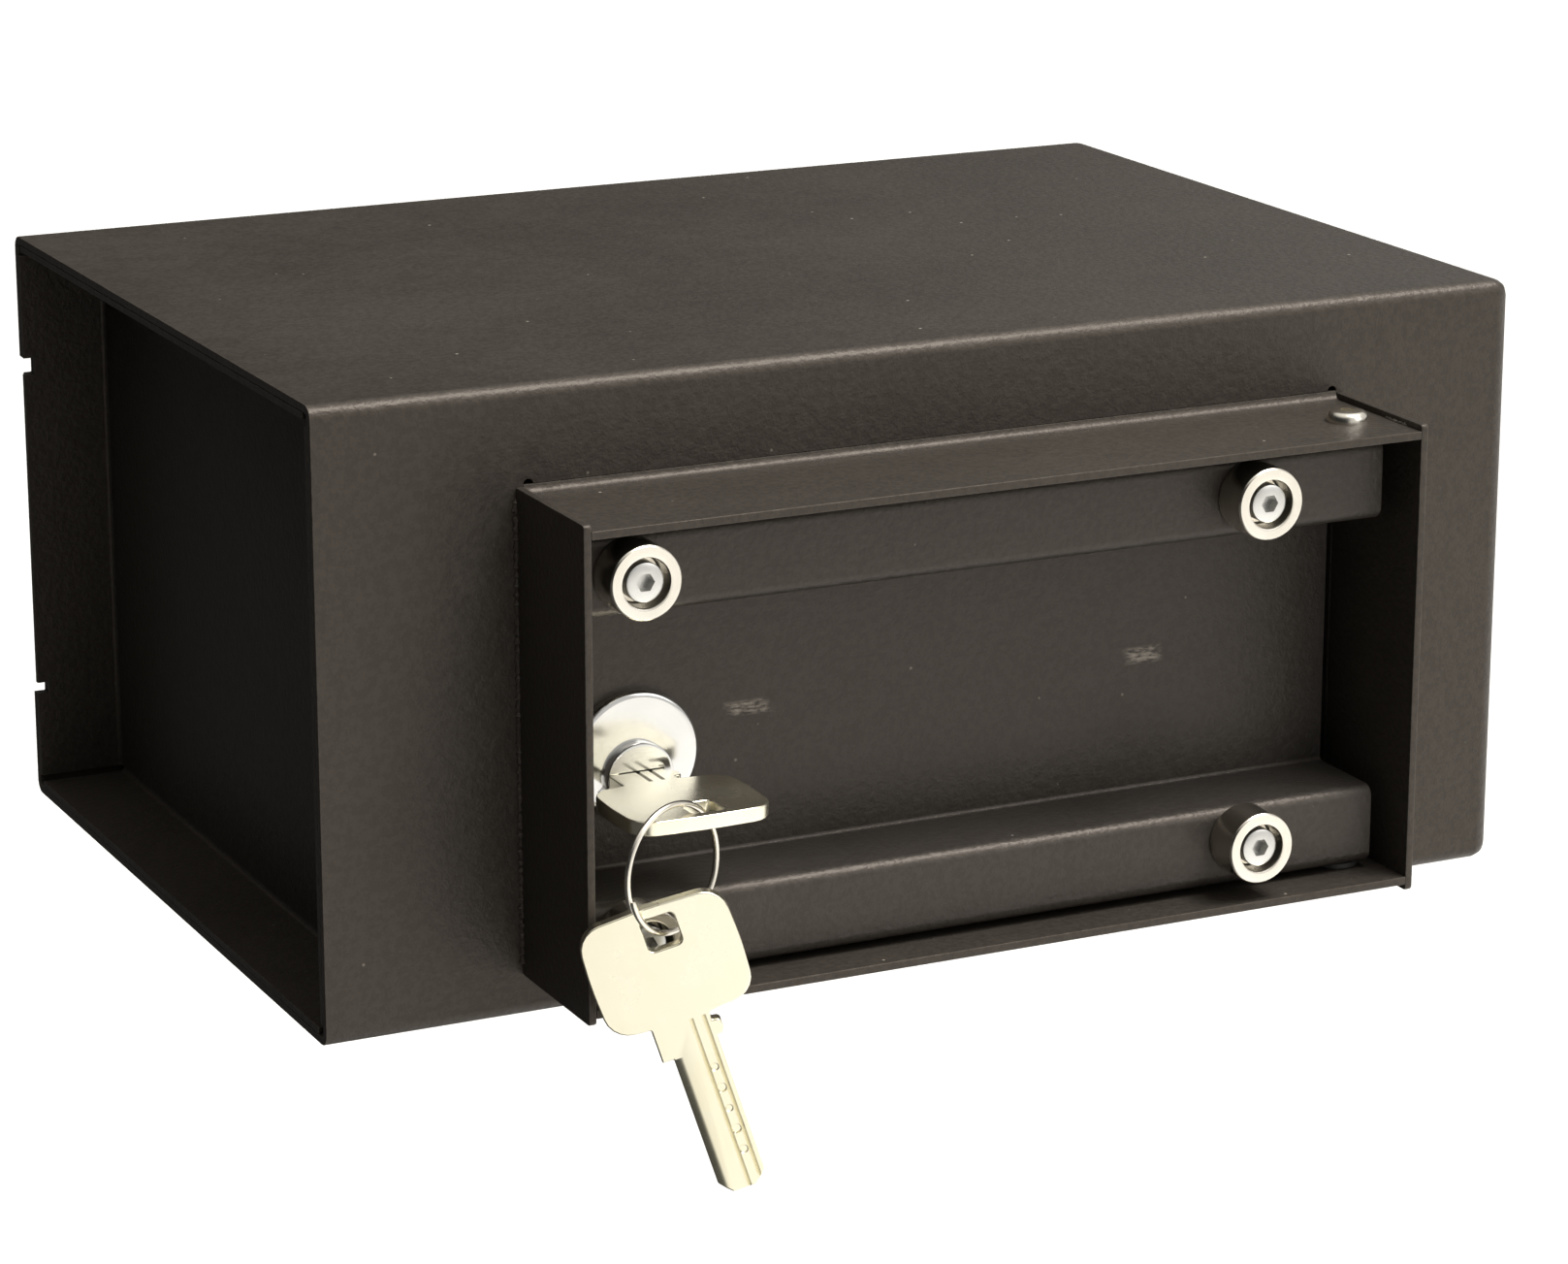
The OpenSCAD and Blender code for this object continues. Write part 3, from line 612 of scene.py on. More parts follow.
def coat_material(name, dark, light, gloss, marks=False):
    """Fine textured powder coat, warm black."""
    material, tree, shader, place = new_material(name)
    peel = place_group(tree, ORANGE_PEEL, {"Vector": place, "Size": 1.0})
    hand = place_group(tree, HANDLING, {"Vector": place, "Base": gloss, "Spread": 0.12})
    dust = place_group(tree, SPECKS, {"Vector": place, "Scale": 230.0, "Share": 0.09})
    edges = place_group(tree, EDGE_WEAR_AND_HIGHLIGHT, {"Vector": place, "Reach": 0.35 * MM, "Strength": 0.45})
    pits = ramp(tree, peel.outputs["Grain"], 0.0, 1.0, 0.0, 0.55)
    shade = math_node(tree, "ADD", pits, math_node(tree, "MULTIPLY", hand.outputs["Tone"], 0.45))
    tone = mix_colour(tree, shade, dark, light)
    # Paler convex edges: edge wear mixed with a painted highlight along the rims.
    tone = mix_colour(tree, edges.outputs["Mask"], tone, (0.15, 0.132, 0.11, 1))
    dusty = math_node(tree, "MULTIPLY", dust.outputs["Mask"], 0.7)
    tone = mix_colour(tree, dusty, tone, (0.40, 0.37, 0.32, 1))
    if marks:
        rubbed = place_group(tree, RUB_MARKS, {"Vector": place})
        chalky = math_node(tree, "MULTIPLY", rubbed.outputs["Mask"], 0.9)
        tone = mix_colour(tree, chalky, tone, (0.27, 0.245, 0.21, 1))
    tree.links.new(tone, shader.inputs["Base Color"])
    tree.links.new(hand.outputs["Roughness"], shader.inputs["Roughness"])
    shader.inputs["Specular IOR Level"].default_value = 0.4
    shader.inputs["Specular Tint"].default_value = (1.0, 0.88, 0.78, 1)
    bump(tree, shader, peel.outputs["Height"], 0.75, PEEL_HEIGHT)
    return material


def metal_material(name, dark, light, gloss, spread, finish, worn_and_highlight_tone=(0.9, 0.88, 0.82, 1), strength=0.2):
    """Bare or plated metal: turned or milled finish, with handling marks."""
    material, tree, shader, place = new_material(name)
    marks = place_group(tree, finish, {"Vector": place})
    hand = place_group(tree, HANDLING, {"Vector": place, "Base": gloss, "Spread": spread})
    edges = place_group(tree, EDGE_WEAR_AND_HIGHLIGHT, {"Vector": place, "Reach": 0.2 * MM, "Strength": 0.4})
    tone = mix_colour(tree, hand.outputs["Tone"], dark, light)
    tone = mix_colour(tree, math_node(tree, "MULTIPLY", marks.outputs["Tone"], 0.25), tone, worn_and_highlight_tone)
    # Paler convex edges: edge wear mixed with a painted highlight along the rims.
    tone = mix_colour(tree, edges.outputs["Mask"], tone, worn_and_highlight_tone)
    tree.links.new(tone, shader.inputs["Base Color"])
    tree.links.new(hand.outputs["Roughness"], shader.inputs["Roughness"])
    shader.inputs["Metallic"].default_value = 1.0
    bump(tree, shader, marks.outputs["Height"], strength, MARK_HEIGHT)
    return material


def nylon_material():
    material, tree, shader, place = new_material("nylon")
    hand = place_group(tree, HANDLING, {"Vector": place, "Base": 0.5, "Spread": 0.1})
    peel = place_group(tree, ORANGE_PEEL, {"Vector": place, "Size": 0.4})
    tone = mix_colour(tree, hand.outputs["Tone"], (0.03, 0.03, 0.03, 1), (0.05, 0.05, 0.05, 1))
    tree.links.new(tone, shader.inputs["Base Color"])
    tree.links.new(hand.outputs["Roughness"], shader.inputs["Roughness"])
    bump(tree, shader, peel.outputs["Height"], 0.2, 0.00005)
    return material


BOX_COAT = coat_material("box_coat", (0.023, 0.0195, 0.016, 1), (0.038, 0.033, 0.0275, 1), 0.44)
DOOR_COAT = coat_material("door_coat", (0.024, 0.021, 0.018, 1), (0.037, 0.033, 0.029, 1), 0.42, marks=True)
NICKEL = metal_material("bright_nickel", (0.62, 0.58, 0.5, 1), (0.82, 0.78, 0.7, 1), 0.24, 0.12, TURNED)
CHROME = metal_material("lock_chrome", (0.64, 0.64, 0.63, 1), (0.74, 0.74, 0.73, 1), 0.14, 0.06, TURNED,
                        strength=0.05)
ZINC = metal_material("zinc_screws", (0.5, 0.5, 0.48, 1), (0.68, 0.68, 0.66, 1), 0.34, 0.12, MILLED)
BRASS = metal_material("key_brass", (0.8, 0.75, 0.56, 1), (0.92, 0.88, 0.72, 1), 0.25, 0.1, MILLED,
                       worn_and_highlight_tone=(0.94, 0.9, 0.74, 1), strength=0.06)
NYLON = nylon_material()


# ---- body ----

def folded_shell(low, high, sheet, long_fold, end_fold, open_side):
    """A five-sided box of sheet with rounded folds, open at its left (-1) or right (1) end."""
    bm = bmesh.new()
    xs, ys, zs = ((low[i], high[i]) for i in range(3))
    corner = {(i, j, k): bm.verts.new((xs[i], ys[j], zs[k])) for i in (0, 1) for j in (0, 1) for k in (0, 1)}
    shut = 1 if open_side < 0 else 0
    bm.faces.new([corner[shut, j, k] for j, k in ((0, 0), (1, 0), (1, 1), (0, 1))])
    for j in (0, 1):
        bm.faces.new([corner[i, j, k] for i, k in ((0, 0), (1, 0), (1, 1), (0, 1))])
    for k in (0, 1):
        bm.faces.new([corner[i, j, k] for i, j in ((0, 0), (1, 0), (1, 1), (0, 1))])
    weights = bm.edges.layers.float.new("bevel_weight_edge")
    for edge in bm.edges:
        a, b = (v.co for v in edge.verts)
        if abs(a.x - b.x) > sheet:
            edge[weights] = long_fold / end_fold
        elif abs(a.x - xs[shut]) < sheet:
            edge[weights] = 1.0
    shell = as_object("shell", bm)
    folds = shell.modifiers.new("folds", "BEVEL")
    folds.limit_method = "WEIGHT"
    folds.width = end_fold
    folds.segments = FOLD_STEPS
    folds.offset_type = "OFFSET"
    wall = shell.modifiers.new("wall", "SOLIDIFY")
    wall.thickness = sheet
    wall.offset = -1
    wall.use_even_offset = True
    settle(shell)
    return shell


def notch_cutters(bm, x):
    run = 3 * SHEET + LONG_FOLD
    for middle, height in NOTCHES:
        add_block(bm, (x - MM, -run, middle - height / 2), (x + NOTCH_DEPTH, MM, middle + height / 2))


def make_housing():
    shell = folded_shell((HOUSE_LO.x, Y_FRONT, HOUSE_LO.z), (HOUSE_HI.x, HOUSE_HI.y, HOUSE_HI.z),
                         SHEET, LONG_FOLD, END_FOLD, -1)
    cuts = bmesh.new()
    add_block(cuts, (IN_LEFT, Y_FRONT - MM, C_LOW - COLLAR_FOLD),
              (IN_RIGHT, Y_FRONT + SHEET + MM, C_HIGH + COLLAR_FOLD))
    for x, z in WALL_HOLES:
        add_prism(cuts, circle(x, z, WALL_HOLE), "y", -SHEET - MM, MM)
    notch_cutters(cuts, HOUSE_LO.x)
    cut_from(shell, cuts)
    holes = bmesh.new()
    for x in (IN_LEFT + RELIEF_HOLE, IN_RIGHT - RELIEF_HOLE):
        for z in (C_LOW - COLLAR_FOLD, C_HIGH + COLLAR_FOLD):
            add_prism(holes, circle(x, z, RELIEF_HOLE, 20), "y", Y_FRONT - MM, Y_FRONT + SHEET + MM)
    add_block(holes, (HOUSE_LO.x - MM, -SHEET - 0.01 * MM, NOTCHES[1][0]),
              (HOUSE_LO.x + NOTCH_LAND, MM, NOTCHES[0][0]))
    cut_from(shell, holes)
    shell.name = "box_shell"
    return finish_piece(shell, "box", BOX_COAT, ["housing"])


def make_flanges():
    """The collar's upper and lower flanges, each folded out of the front wall."""
    for name, z_out, side in (("flange_top", C_HIGH, 1), ("flange_bottom", C_LOW, -1)):
        bm = bmesh.new()
        add_prism(bm, flange_outline(z_out, side), "x", IN_LEFT, IN_RIGHT)
        flange = as_object(name, bm)
        hole = bmesh.new()
        add_prism(hole, circle(PIVOT_X, PIVOT_Y, M4_HOLE), "z", z_out - 2 * SHEET, z_out + 2 * SHEET)
        cut_from(flange, hole)
        finish_piece(flange, "box", BOX_COAT, rims=0.12 * MM)


def flange_outline(z_out, side):
    """Across is Y and up is Z: the flat of the flange, then a quarter turn up into the wall."""
    inner, outer = COLLAR_FOLD, COLLAR_FOLD + SHEET
    middle = (Y_FRONT - inner, z_out + side * inner)
    near, far = [], []
    for k in range(FOLD_STEPS + 1):
        a = math.pi / 2 * k / FOLD_STEPS
        near.append((middle[0] + inner * math.sin(a), middle[1] - side * inner * math.cos(a)))
        far.append((middle[0] + outer * math.sin(a), middle[1] - side * outer * math.cos(a)))
    return [(Y_COLLAR, z_out)] + near + far[::-1] + [(Y_COLLAR, z_out - side * SHEET)]


def make_collar_sides():
    for name, (low, high) in (("collar_side_left", SIDE_L), ("collar_side_right", SIDE_R)):
        bm = bmesh.new()
        outline = [(high.y, low.z), (low.y, low.z), (low.y, high.z), (high.y, high.z)]
        add_prism(bm, rounded(outline, [0, PLATE_CORNER, PLATE_CORNER, 0]), "x", low.x, high.x)
        plate = as_object(name.replace("collar_side", "collar_plate"), bm)
        finish_piece(plate, "box", BOX_COAT, [name], rims=0.3 * MM)


def add_bead(bm, start, end, radius, seed):
    """A weld bead: a lumpy bar from start to end."""
    draw = random.Random(seed)
    count = max(8, int((end - start).length / BEAD_PITCH))
    path, radii = [], []
    for i in range(count + 1):
        wander = Vector([draw.uniform(-BEAD_WANDER, BEAD_WANDER) * MM for _ in range(3)])
        path.append(start.lerp(end, i / count) + wander)
        radii.append(radius * (0.8 + 0.25 * math.sin(i * 1.7) + draw.uniform(-BEAD_WANDER, BEAD_WANDER)))
    radii[0] = radii[-1] = radius * 0.3
    add_tube(bm, path, radii, 10)


def make_welds():
    bm = bmesh.new()
    for x, seed in ((C_LEFT, 3), (C_RIGHT, 5)):
        add_bead(bm, Vector((x, Y_FRONT, C_LOW + MM)), Vector((x, Y_FRONT, C_HIGH - MM)), SIDE_BEAD, seed)
    for x, seed in ((IN_LEFT, 7), (IN_RIGHT, 9)):
        for z, side in ((C_HIGH, 1), (C_LOW, -1)):
            start, end = Vector((x, Y_COLLAR + 5 * MM, z)), Vector((x, Y_COLLAR + 12 * MM, z))
            add_bead(bm, start, end, CORNER_BEAD, seed + side)
    welds = as_object("collar_welds", bm)
    finish_piece(welds, "box", BOX_COAT, rims=0)


def make_end_pan():
    pan = folded_shell((PAN_LO.x, PAN_LO.y, PAN_LO.z), (PAN_HI.x, PAN_HI.y, PAN_HI.z),
                       PAN_SHEET, PAN_RELIEF, PAN_RELIEF, -1)
    cuts = bmesh.new()
    for y0, y1 in ((PAN_LO.y - MM, PAN_LO.y + PAN_RELIEF), (PAN_HI.y - PAN_RELIEF, PAN_HI.y + MM)):
        for z0, z1 in ((PAN_LO.z - MM, PAN_LO.z + PAN_RELIEF), (PAN_HI.z - PAN_RELIEF, PAN_HI.z + MM)):
            add_block(cuts, (PAN_LO.x - MM, y0, z0), (PAN_HI.x + MM, y1, z1))
    notch_cutters(cuts, PAN_LO.x)
    cut_from(pan, cuts)
    pan.name = "end_panel"
    return finish_piece(pan, "box", BOX_COAT, ["end_pan"])


# ---- door ----

def make_door():
    y_return = Y_RAIL + RETURN_DEPTH
    path = [(y_return, DOOR_LO.z), (Y_RAIL, DOOR_LO.z), (Y_RAIL, RECESS_LOW), (Y_PANEL, RECESS_LOW),
            (Y_PANEL, RECESS_HIGH), (Y_RAIL, RECESS_HIGH), (Y_RAIL, DOOR_HI.z), (y_return, DOOR_HI.z)]
    bm = bmesh.new()
    add_prism(bm, door_outline(path), "x", DOOR_LO.x, DOOR_HI.x)
    door = as_object("door_sheet", bm)
    holes = bmesh.new()
    add_prism(holes, circle(LOCK_X, LOCK_Z, LOCK_BODY + 0.1 * MM, ROUND), "y",
              Y_PANEL - MM, Y_PANEL + SHEET + MM)
    for x, z in POST_PLACES:
        add_prism(holes, circle(x, z, M4_HOLE), "y", Y_RAIL - MM, Y_RAIL + SHEET + MM)
    for z in (DOOR_LO.z, DOOR_HI.z):
        add_prism(holes, circle(PIVOT_X, PIVOT_Y, M4_HOLE), "z", z - 2 * SHEET, z + 2 * SHEET)
    cut_from(door, holes)
    return finish_piece(door, "door", DOOR_COAT, ["door_panel"])


def door_outline(path):
    """Outline of the door's hat section. The path is its front, from the lower return to the upper one."""
    inner, outer = DOOR_FOLD, DOOR_FOLD + SHEET
    front_r = [0, outer, outer, inner, inner, outer, outer, 0]
    back_r = [0, inner, inner, outer, outer, inner, inner, 0]
    y_return = path[0][0]
    back = [(y_return, DOOR_LO.z + SHEET), (Y_RAIL + SHEET, DOOR_LO.z + SHEET),
            (Y_RAIL + SHEET, RECESS_LOW - SHEET), (Y_PANEL + SHEET, RECESS_LOW - SHEET),
            (Y_PANEL + SHEET, RECESS_HIGH + SHEET), (Y_RAIL + SHEET, RECESS_HIGH + SHEET),
            (Y_RAIL + SHEET, DOOR_HI.z - SHEET), (y_return, DOOR_HI.z - SHEET)]
    return rounded(path + back[::-1], front_r + back_r[::-1])


def turned_piece(name, profile, place, body, material, nodes=(), socket=None, rims=0.0):
    """A piece turned round Y with its origin on its axis. A socket is (flats, from, to)."""
    bm = bmesh.new()
    add_lathe(bm, profile, "y", Vector((0, 0, 0)))
    obj = as_object(name, bm)
    if socket:
        hole = bmesh.new()
        add_prism(hole, hexagon(socket[0]), "y", socket[1], socket[2])
        cut_from(obj, hole)
    obj.location = place
    return finish_piece(obj, body, material, nodes, rims=rims)


def make_posts():
    length = POST_HI.y - POST_LO.y
    head, tip, seat = SCREW_LO.y - POST_LO.y, SCREW_HI.y - POST_LO.y, POST_BORE_DEPTH
    for number, (x, z) in enumerate(POST_PLACES, 1):
        place = Vector((x, POST_LO.y, z))
        profile = [(POST_R - POST_EDGE, 0), (POST_R - POST_EASE, POST_EASE), (POST_R, POST_EDGE),
                   (POST_R, length - POST_EDGE), (POST_R - POST_EDGE, length), (M4_HOLE, length),
                   (M4_HOLE, seat), (POST_BORE - SEAT_CORNER, seat), (POST_BORE, seat - SEAT_CORNER),
                   (POST_BORE, BORE_LEAD), (POST_BORE + 0.15 * MM, POST_EASE), (POST_BORE + BORE_LEAD, 0)]
        turned_piece(f"post_{number}", profile, place, "door", NICKEL,
                     ["cover_posts"] if number == 1 else ())
        screw = [(0, head), (SCREW_HEAD - 0.5 * MM, head), (SCREW_HEAD - 0.1 * MM, head + 0.2 * MM),
                 (SCREW_HEAD, head + 0.6 * MM), (SCREW_HEAD, seat), (M4, seat), (M4, tip - SCREW_POINT),
                 (M4 - SCREW_POINT, tip), (0, tip)]
        turned_piece(f"post_screw_{number}", screw, place, "door", ZINC,
                     ["post_screws"] if number == 1 else (),
                     socket=(SOCKET_FLATS, head - MM, head + SOCKET_DEPTH))


def add_nut(bm, centre, along, flats, height, bore, turn=0.0):
    """A hexagonal nut with its corners turned off at both ends."""
    reach = flats / math.sqrt(3)
    body = bmesh.new()
    add_prism(body, hexagon(flats, turn), along, 0, height)
    nut = as_object("nut", body)
    trim = bmesh.new()
    slope = (reach - flats / 2) * math.tan(math.radians(NUT_CHAMFER))
    add_lathe(trim, [(0, 0), (flats / 2 - 0.05 * MM, 0), (reach, slope), (reach, height - slope),
                     (flats / 2 - 0.05 * MM, height), (0, height)], along, Vector((0, 0, 0)))
    disc = as_object("disc", trim)
    step = nut.modifiers.new("trim", "BOOLEAN")
    step.operation = "INTERSECT"
    step.solver = "EXACT"
    step.object = disc
    settle(nut)
    bpy.data.objects.remove(disc)
    hole = bmesh.new()
    add_prism(hole, circle(0, 0, bore), along, -MM, height + MM)
    cut_from(nut, hole)
    nut.data.transform(Matrix.Translation(centre))
    bm.from_mesh(nut.data)
    bpy.data.objects.remove(nut)


def make_nuts():
    bm = bmesh.new()
    for x, z in POST_PLACES:
        add_nut(bm, Vector((x, Y_RAIL + SHEET, z)), "y", NUT_FLATS, NUT_HEIGHT, M4)
    finish_piece(as_object("nuts_post", bm), "door", ZINC, ["post_nuts"], rims=0)
    low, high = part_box("pivot_nuts")
    bm = bmesh.new()
    for z in (low.z, high.z - NUT_HEIGHT):
        add_nut(bm, Vector((PIVOT_X, PIVOT_Y, z)), "z", NUT_FLATS, NUT_HEIGHT, M4)
    finish_piece(as_object("nuts_pivot", bm), "door", ZINC, ["pivot_nuts"], rims=0)
    low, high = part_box("lock_nut")
    bm = bmesh.new()
    add_nut(bm, Vector((LOCK_X, low.y, LOCK_Z)), "y", high.z - low.z, high.y - low.y, LOCK_BODY)
    finish_piece(as_object("nut_lock", bm), "door", ZINC, ["lock_nut"], rims=0)


def make_pivot_screws():
    """Button-head screws on the collar's flanges, with their sockets facing away from the box."""
    for name, z_seat, side in (("pivot_screw_upper", PIVOT_HI.z - BUTTON_HEIGHT, 1),
                               ("pivot_screw_lower", PIVOT_LO.z + BUTTON_HEIGHT, -1)):
        shank = 2 * SHEET + PIVOT_GAP + NUT_HEIGHT + SHEET / 2
        crown = BUTTON_HEIGHT - DOME_EASE
        dome = [(0, BUTTON_HEIGHT), (DOME_FLAT, BUTTON_HEIGHT), (DOME_TOP, crown)]
        for k in range(1, 7):
            a = math.radians(15 * k)
            dome.append((DOME_TOP + (BUTTON_HEAD - DOME_TOP) * math.sin(a),
                         crown * math.cos(a) + DOME_SWELL * math.sin(a)))
        profile = dome + [(BUTTON_HEAD, 0), (M4, 0), (M4, -shank + SCREW_POINT), (M4 - SCREW_POINT, -shank),
                          (0, -shank)]
        bm = bmesh.new()
        add_lathe(bm, profile, "z", Vector((0, 0, 0)))
        screw = as_object(name, bm)
        hole = bmesh.new()
        add_prism(hole, hexagon(BUTTON_SOCKET), "z",
                  BUTTON_HEIGHT - BUTTON_SOCKET_DEPTH, BUTTON_HEIGHT + MM)
        cut_from(screw, hole)
        if side < 0:
            screw.data.transform(Matrix.Scale(-1, 4, Vector((0, 0, 1))))
            screw.data.flip_normals()
        screw.location = Vector((PIVOT_X, PIVOT_Y, z_seat))
        finish_piece(screw, "door", NICKEL, ["pivot_screws"] if side > 0 else (), rims=0)


# ---- lock ----

def make_lock():
    length = LOCK_HI.y - LOCK_LO.y
    rose, rim = ROSE_THICK, ROSE_RIM
    profile = [(0, 0), (ROSE_R - rim - 0.15 * MM, 0), (ROSE_R - rim, ROSE_EASE)]
    for k in range(1, 7):
        a = math.radians(15 * k)
        profile.append((ROSE_R - rim + rim * math.sin(a), ROSE_EASE + (rim - ROSE_EASE) * (1 - math.cos(a))))
    profile += [(ROSE_R, rose), (LOCK_BODY, rose)]
    threads = int((length - rose - THREAD_PLAIN) / THREAD_PITCH)
    for k in range(threads):
        start = rose + MM + k * THREAD_PITCH
        profile += [(LOCK_BODY, start), (LOCK_BODY - THREAD_DEPTH, start + 0.45 * THREAD_PITCH),
                    (LOCK_BODY, start + 0.9 * THREAD_PITCH)]
    profile += [(LOCK_BODY, length - 0.5 * MM), (LOCK_BODY - 0.5 * MM, length), (0, length)]
    bm = bmesh.new()
    add_lathe(bm, profile, "y", Vector((0, 0, 0)), 96)
    lock = as_object("lock_case", bm)
    drop = PLUG_Z - LOCK_Z
    holes = bmesh.new()
    add_prism(holes, circle(0, drop, PLUG_BORE, ROUND), "y", -MM, length + MM)
    cut_from(lock, holes)
    mark = bmesh.new()
    turned = Matrix.Rotation(MARK_TURN, 2)
    corners = oblong(MARK_PLACE - MARK_LENGTH, MARK_PLACE + MARK_LENGTH, -MARK_WIDTH, MARK_WIDTH)
    add_prism(mark, [tuple(turned @ Vector(corner)) for corner in corners], "y", -MM, MARK_DEPTH)
    cut_from(lock, mark)
    lock.location = Vector((LOCK_X, LOCK_LO.y, LOCK_Z))
    finish_piece(lock, "door", CHROME, ["lock_body"], rims=0)


def make_plug():
    head_front = PLUG_LO.y
    head_length = LOCK_LO.y - head_front - 0.05 * MM
    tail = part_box("cam")[0].y - head_front
    profile = [(0, 0), (PLUG_HEAD - 0.7 * MM, 0), (PLUG_HEAD - 0.2 * MM, 0.12 * MM), (PLUG_HEAD, 0.5 * MM),
               (PLUG_HEAD, head_length), (PLUG, head_length), (PLUG, tail - 0.2 * MM),
               (PLUG - 0.2 * MM, tail), (0, tail)]
    bm = bmesh.new()
    add_lathe(bm, profile, "y", Vector((0, 0, 0)))
    plug = as_object("plug_turned", bm)
    slot = bmesh.new()
    half_w, half_t = BLADE_WIDTH / 2 + SLOT_SLACK, KEY_THICK / 2 + SLOT_SLACK
    add_block(slot, (-half_w, -MM, -half_t), (half_w, KEY_STOP - head_front + BLADE + SLOT_SLACK, half_t))
    cut_from(plug, slot)
    square = bmesh.new()
    add_block(square, (-TANG, tail - 0.02 * MM, -TANG), (TANG, PLUG_HI.y - head_front, TANG))
    tang = as_object("tang", square)
    join(plug, tang)
    plug.location = Vector((LOCK_X, head_front, PLUG_Z))
    finish_piece(plug, "plug", CHROME, ["lock_plug"], rims=0)


def join(obj, other):
    """Adds the other object's mesh to the first one's, and removes the other."""
    bm = bmesh.new()
    bm.from_mesh(obj.data)
    bm.from_mesh(other.data)
    bm.to_mesh(obj.data)
    bm.free()
    bpy.data.objects.remove(other)


# ---- keys ----

def key_outline():
    """The whole key flat, stop at the origin, blade along +Y. The third value rounds the corner."""
    half, blade = BOW_WIDTH / 2, BLADE_WIDTH / 2
    back = -NECK - BOW_LENGTH
    middle = -NECK - BOW_LENGTH / 2
    inset = half - BOW_PULL
    tip = BLADE_WIDTH / 4
    bulge = 60 * MM
    points = [(-inset, back + BOW_PULL, BOW_CORNER), (0, back, bulge), (inset, back + BOW_PULL, BOW_CORNER),
              (half, middle, bulge), (inset, -NECK - BOW_PULL, BOW_CORNER),
              (blade, -NECK, 0.8 * MM), (blade, -NUB_FROM_STOP - NUB, 0),
              (blade + NUB, -NUB_FROM_STOP - 0.9 * NUB, 0.9 * MM),
              (blade + NUB, -NUB_FROM_STOP + 0.9 * NUB, 0.9 * MM), (blade, -NUB_FROM_STOP + NUB, 0),
              (blade, BLADE - tip, 0.5 * MM), (blade / 2, BLADE, 0.4 * MM), (-blade / 2, BLADE, 0.4 * MM),
              (-blade, BLADE - tip, 0.5 * MM), (-blade, 0, 0), (-blade - SHOULDER, 0, 0.3 * MM),
              (-blade - SHOULDER, -NECK, 0.3 * MM), (-inset, -NECK - BOW_PULL, BOW_CORNER),
              (-half, middle, bulge)]
    return rounded([p[:2] for p in points], [p[2] for p in points], 5)


def add_groove(bm, side, x, width, depth, start, end):
    """A cutter for a V groove along the key's face on one side (1 or -1)."""
    face, over = KEY_THICK / 2, 0.5 * MM
    half = width / 2 * (depth + over) / depth
    outline = [(x - half, side * (face + over)), (x, side * (face - depth)), (x + half, side * (face + over))]
    add_prism(bm, outline, "y", start, end)


def make_key(name):
    """A dimple key: bow with a square hole, blade with a milled flank, long grooves and dimples."""
    bm = bmesh.new()
    add_prism(bm, key_outline(), "z", -KEY_THICK / 2, KEY_THICK / 2)
    key = as_object(name, bm)
    back = -NECK - BOW_LENGTH
    hole = bmesh.new()
    x, y, reach = HOLE_SIDE, back + HOLE_FROM_END, KEY_HOLE / 2
    square = rounded(oblong(x - reach, x + reach, y - reach, y + reach), MM, 4)
    add_prism(hole, square, "z", -KEY_THICK, KEY_THICK)
    cut_from(key, hole)
    round_rims(key, KEY_EDGE, 3, 40)
    face, edge = KEY_THICK / 2, BLADE_WIDTH / 2
    marks = bmesh.new()
    for side in (-1, 1):
        for groove in GROOVES[side]:
            add_groove(marks, side, groove, GROOVE_WIDTH, GROOVE_DEPTH, -NECK + 0.2 * MM, BLADE + MM)
    cut_from(key, marks)
    flanks = bmesh.new()
    for side in (-1, 1):
        outline = [(-edge - MM, side * (face + MM)), (-edge - MM, side * (face - 1.15 * MM)),
                   (-edge, side * (face - 0.95 * MM)), (-edge + FLANK_WIDTH, side * (face + 0.05 * MM)),
                   (-edge + FLANK_WIDTH, side * (face + MM))]
        add_prism(flanks, outline, "y", 0.05 * MM, BLADE + MM)
    cut_from(key, flanks)
    dimples = bmesh.new()
    for i, depth in enumerate(DIMPLE_DEPTHS):
        for side in (-1, 1):
            middle = sum(GROOVES[side]) / 2
            top, wide = side * (face + 0.02 * MM), DIMPLE_WIDTH + depth
            profile = [(0, top - side * depth), (wide * DIMPLE_FLAT, top - side * depth), (wide, top),
                       (0, top + side * 0.3 * MM)]
            add_lathe(dimples, profile, "z", Vector((middle, DIMPLE_FIRST + i * DIMPLE_PITCH, 0)), 20)
    cut_from(key, dimples)
    return key


def make_keys():
    key = make_key("key_in_lock")
    key.matrix_world = Matrix.Translation((LOCK_X, KEY_STOP, PLUG_Z))
    finish_piece(key, "key", BRASS, ["lock_key"], rims=0)
    joint = next(j for j in frame["joints"] if j["name"] == "spare_swing")
    hang = Vector(joint["pos_m"]) + Vector((SPARE_SIDE, 0, 0))
    spare = make_key("key_hanging")
    to_hole = Matrix.Translation((-HOLE_SIDE, NECK + BOW_LENGTH - HOLE_FROM_END, 0))
    spare.matrix_world = (Matrix.Translation(hang) @ Matrix.Rotation(SPARE_TURN, 4, "Z")
                          @ Matrix.Rotation(-SPARE_LEAN, 4, "Y")
                          @ Matrix.Rotation(-math.pi / 2, 4, "X") @ to_hole)
    finish_piece(spare, "spare", BRASS, ["spare_key"], rims=0)


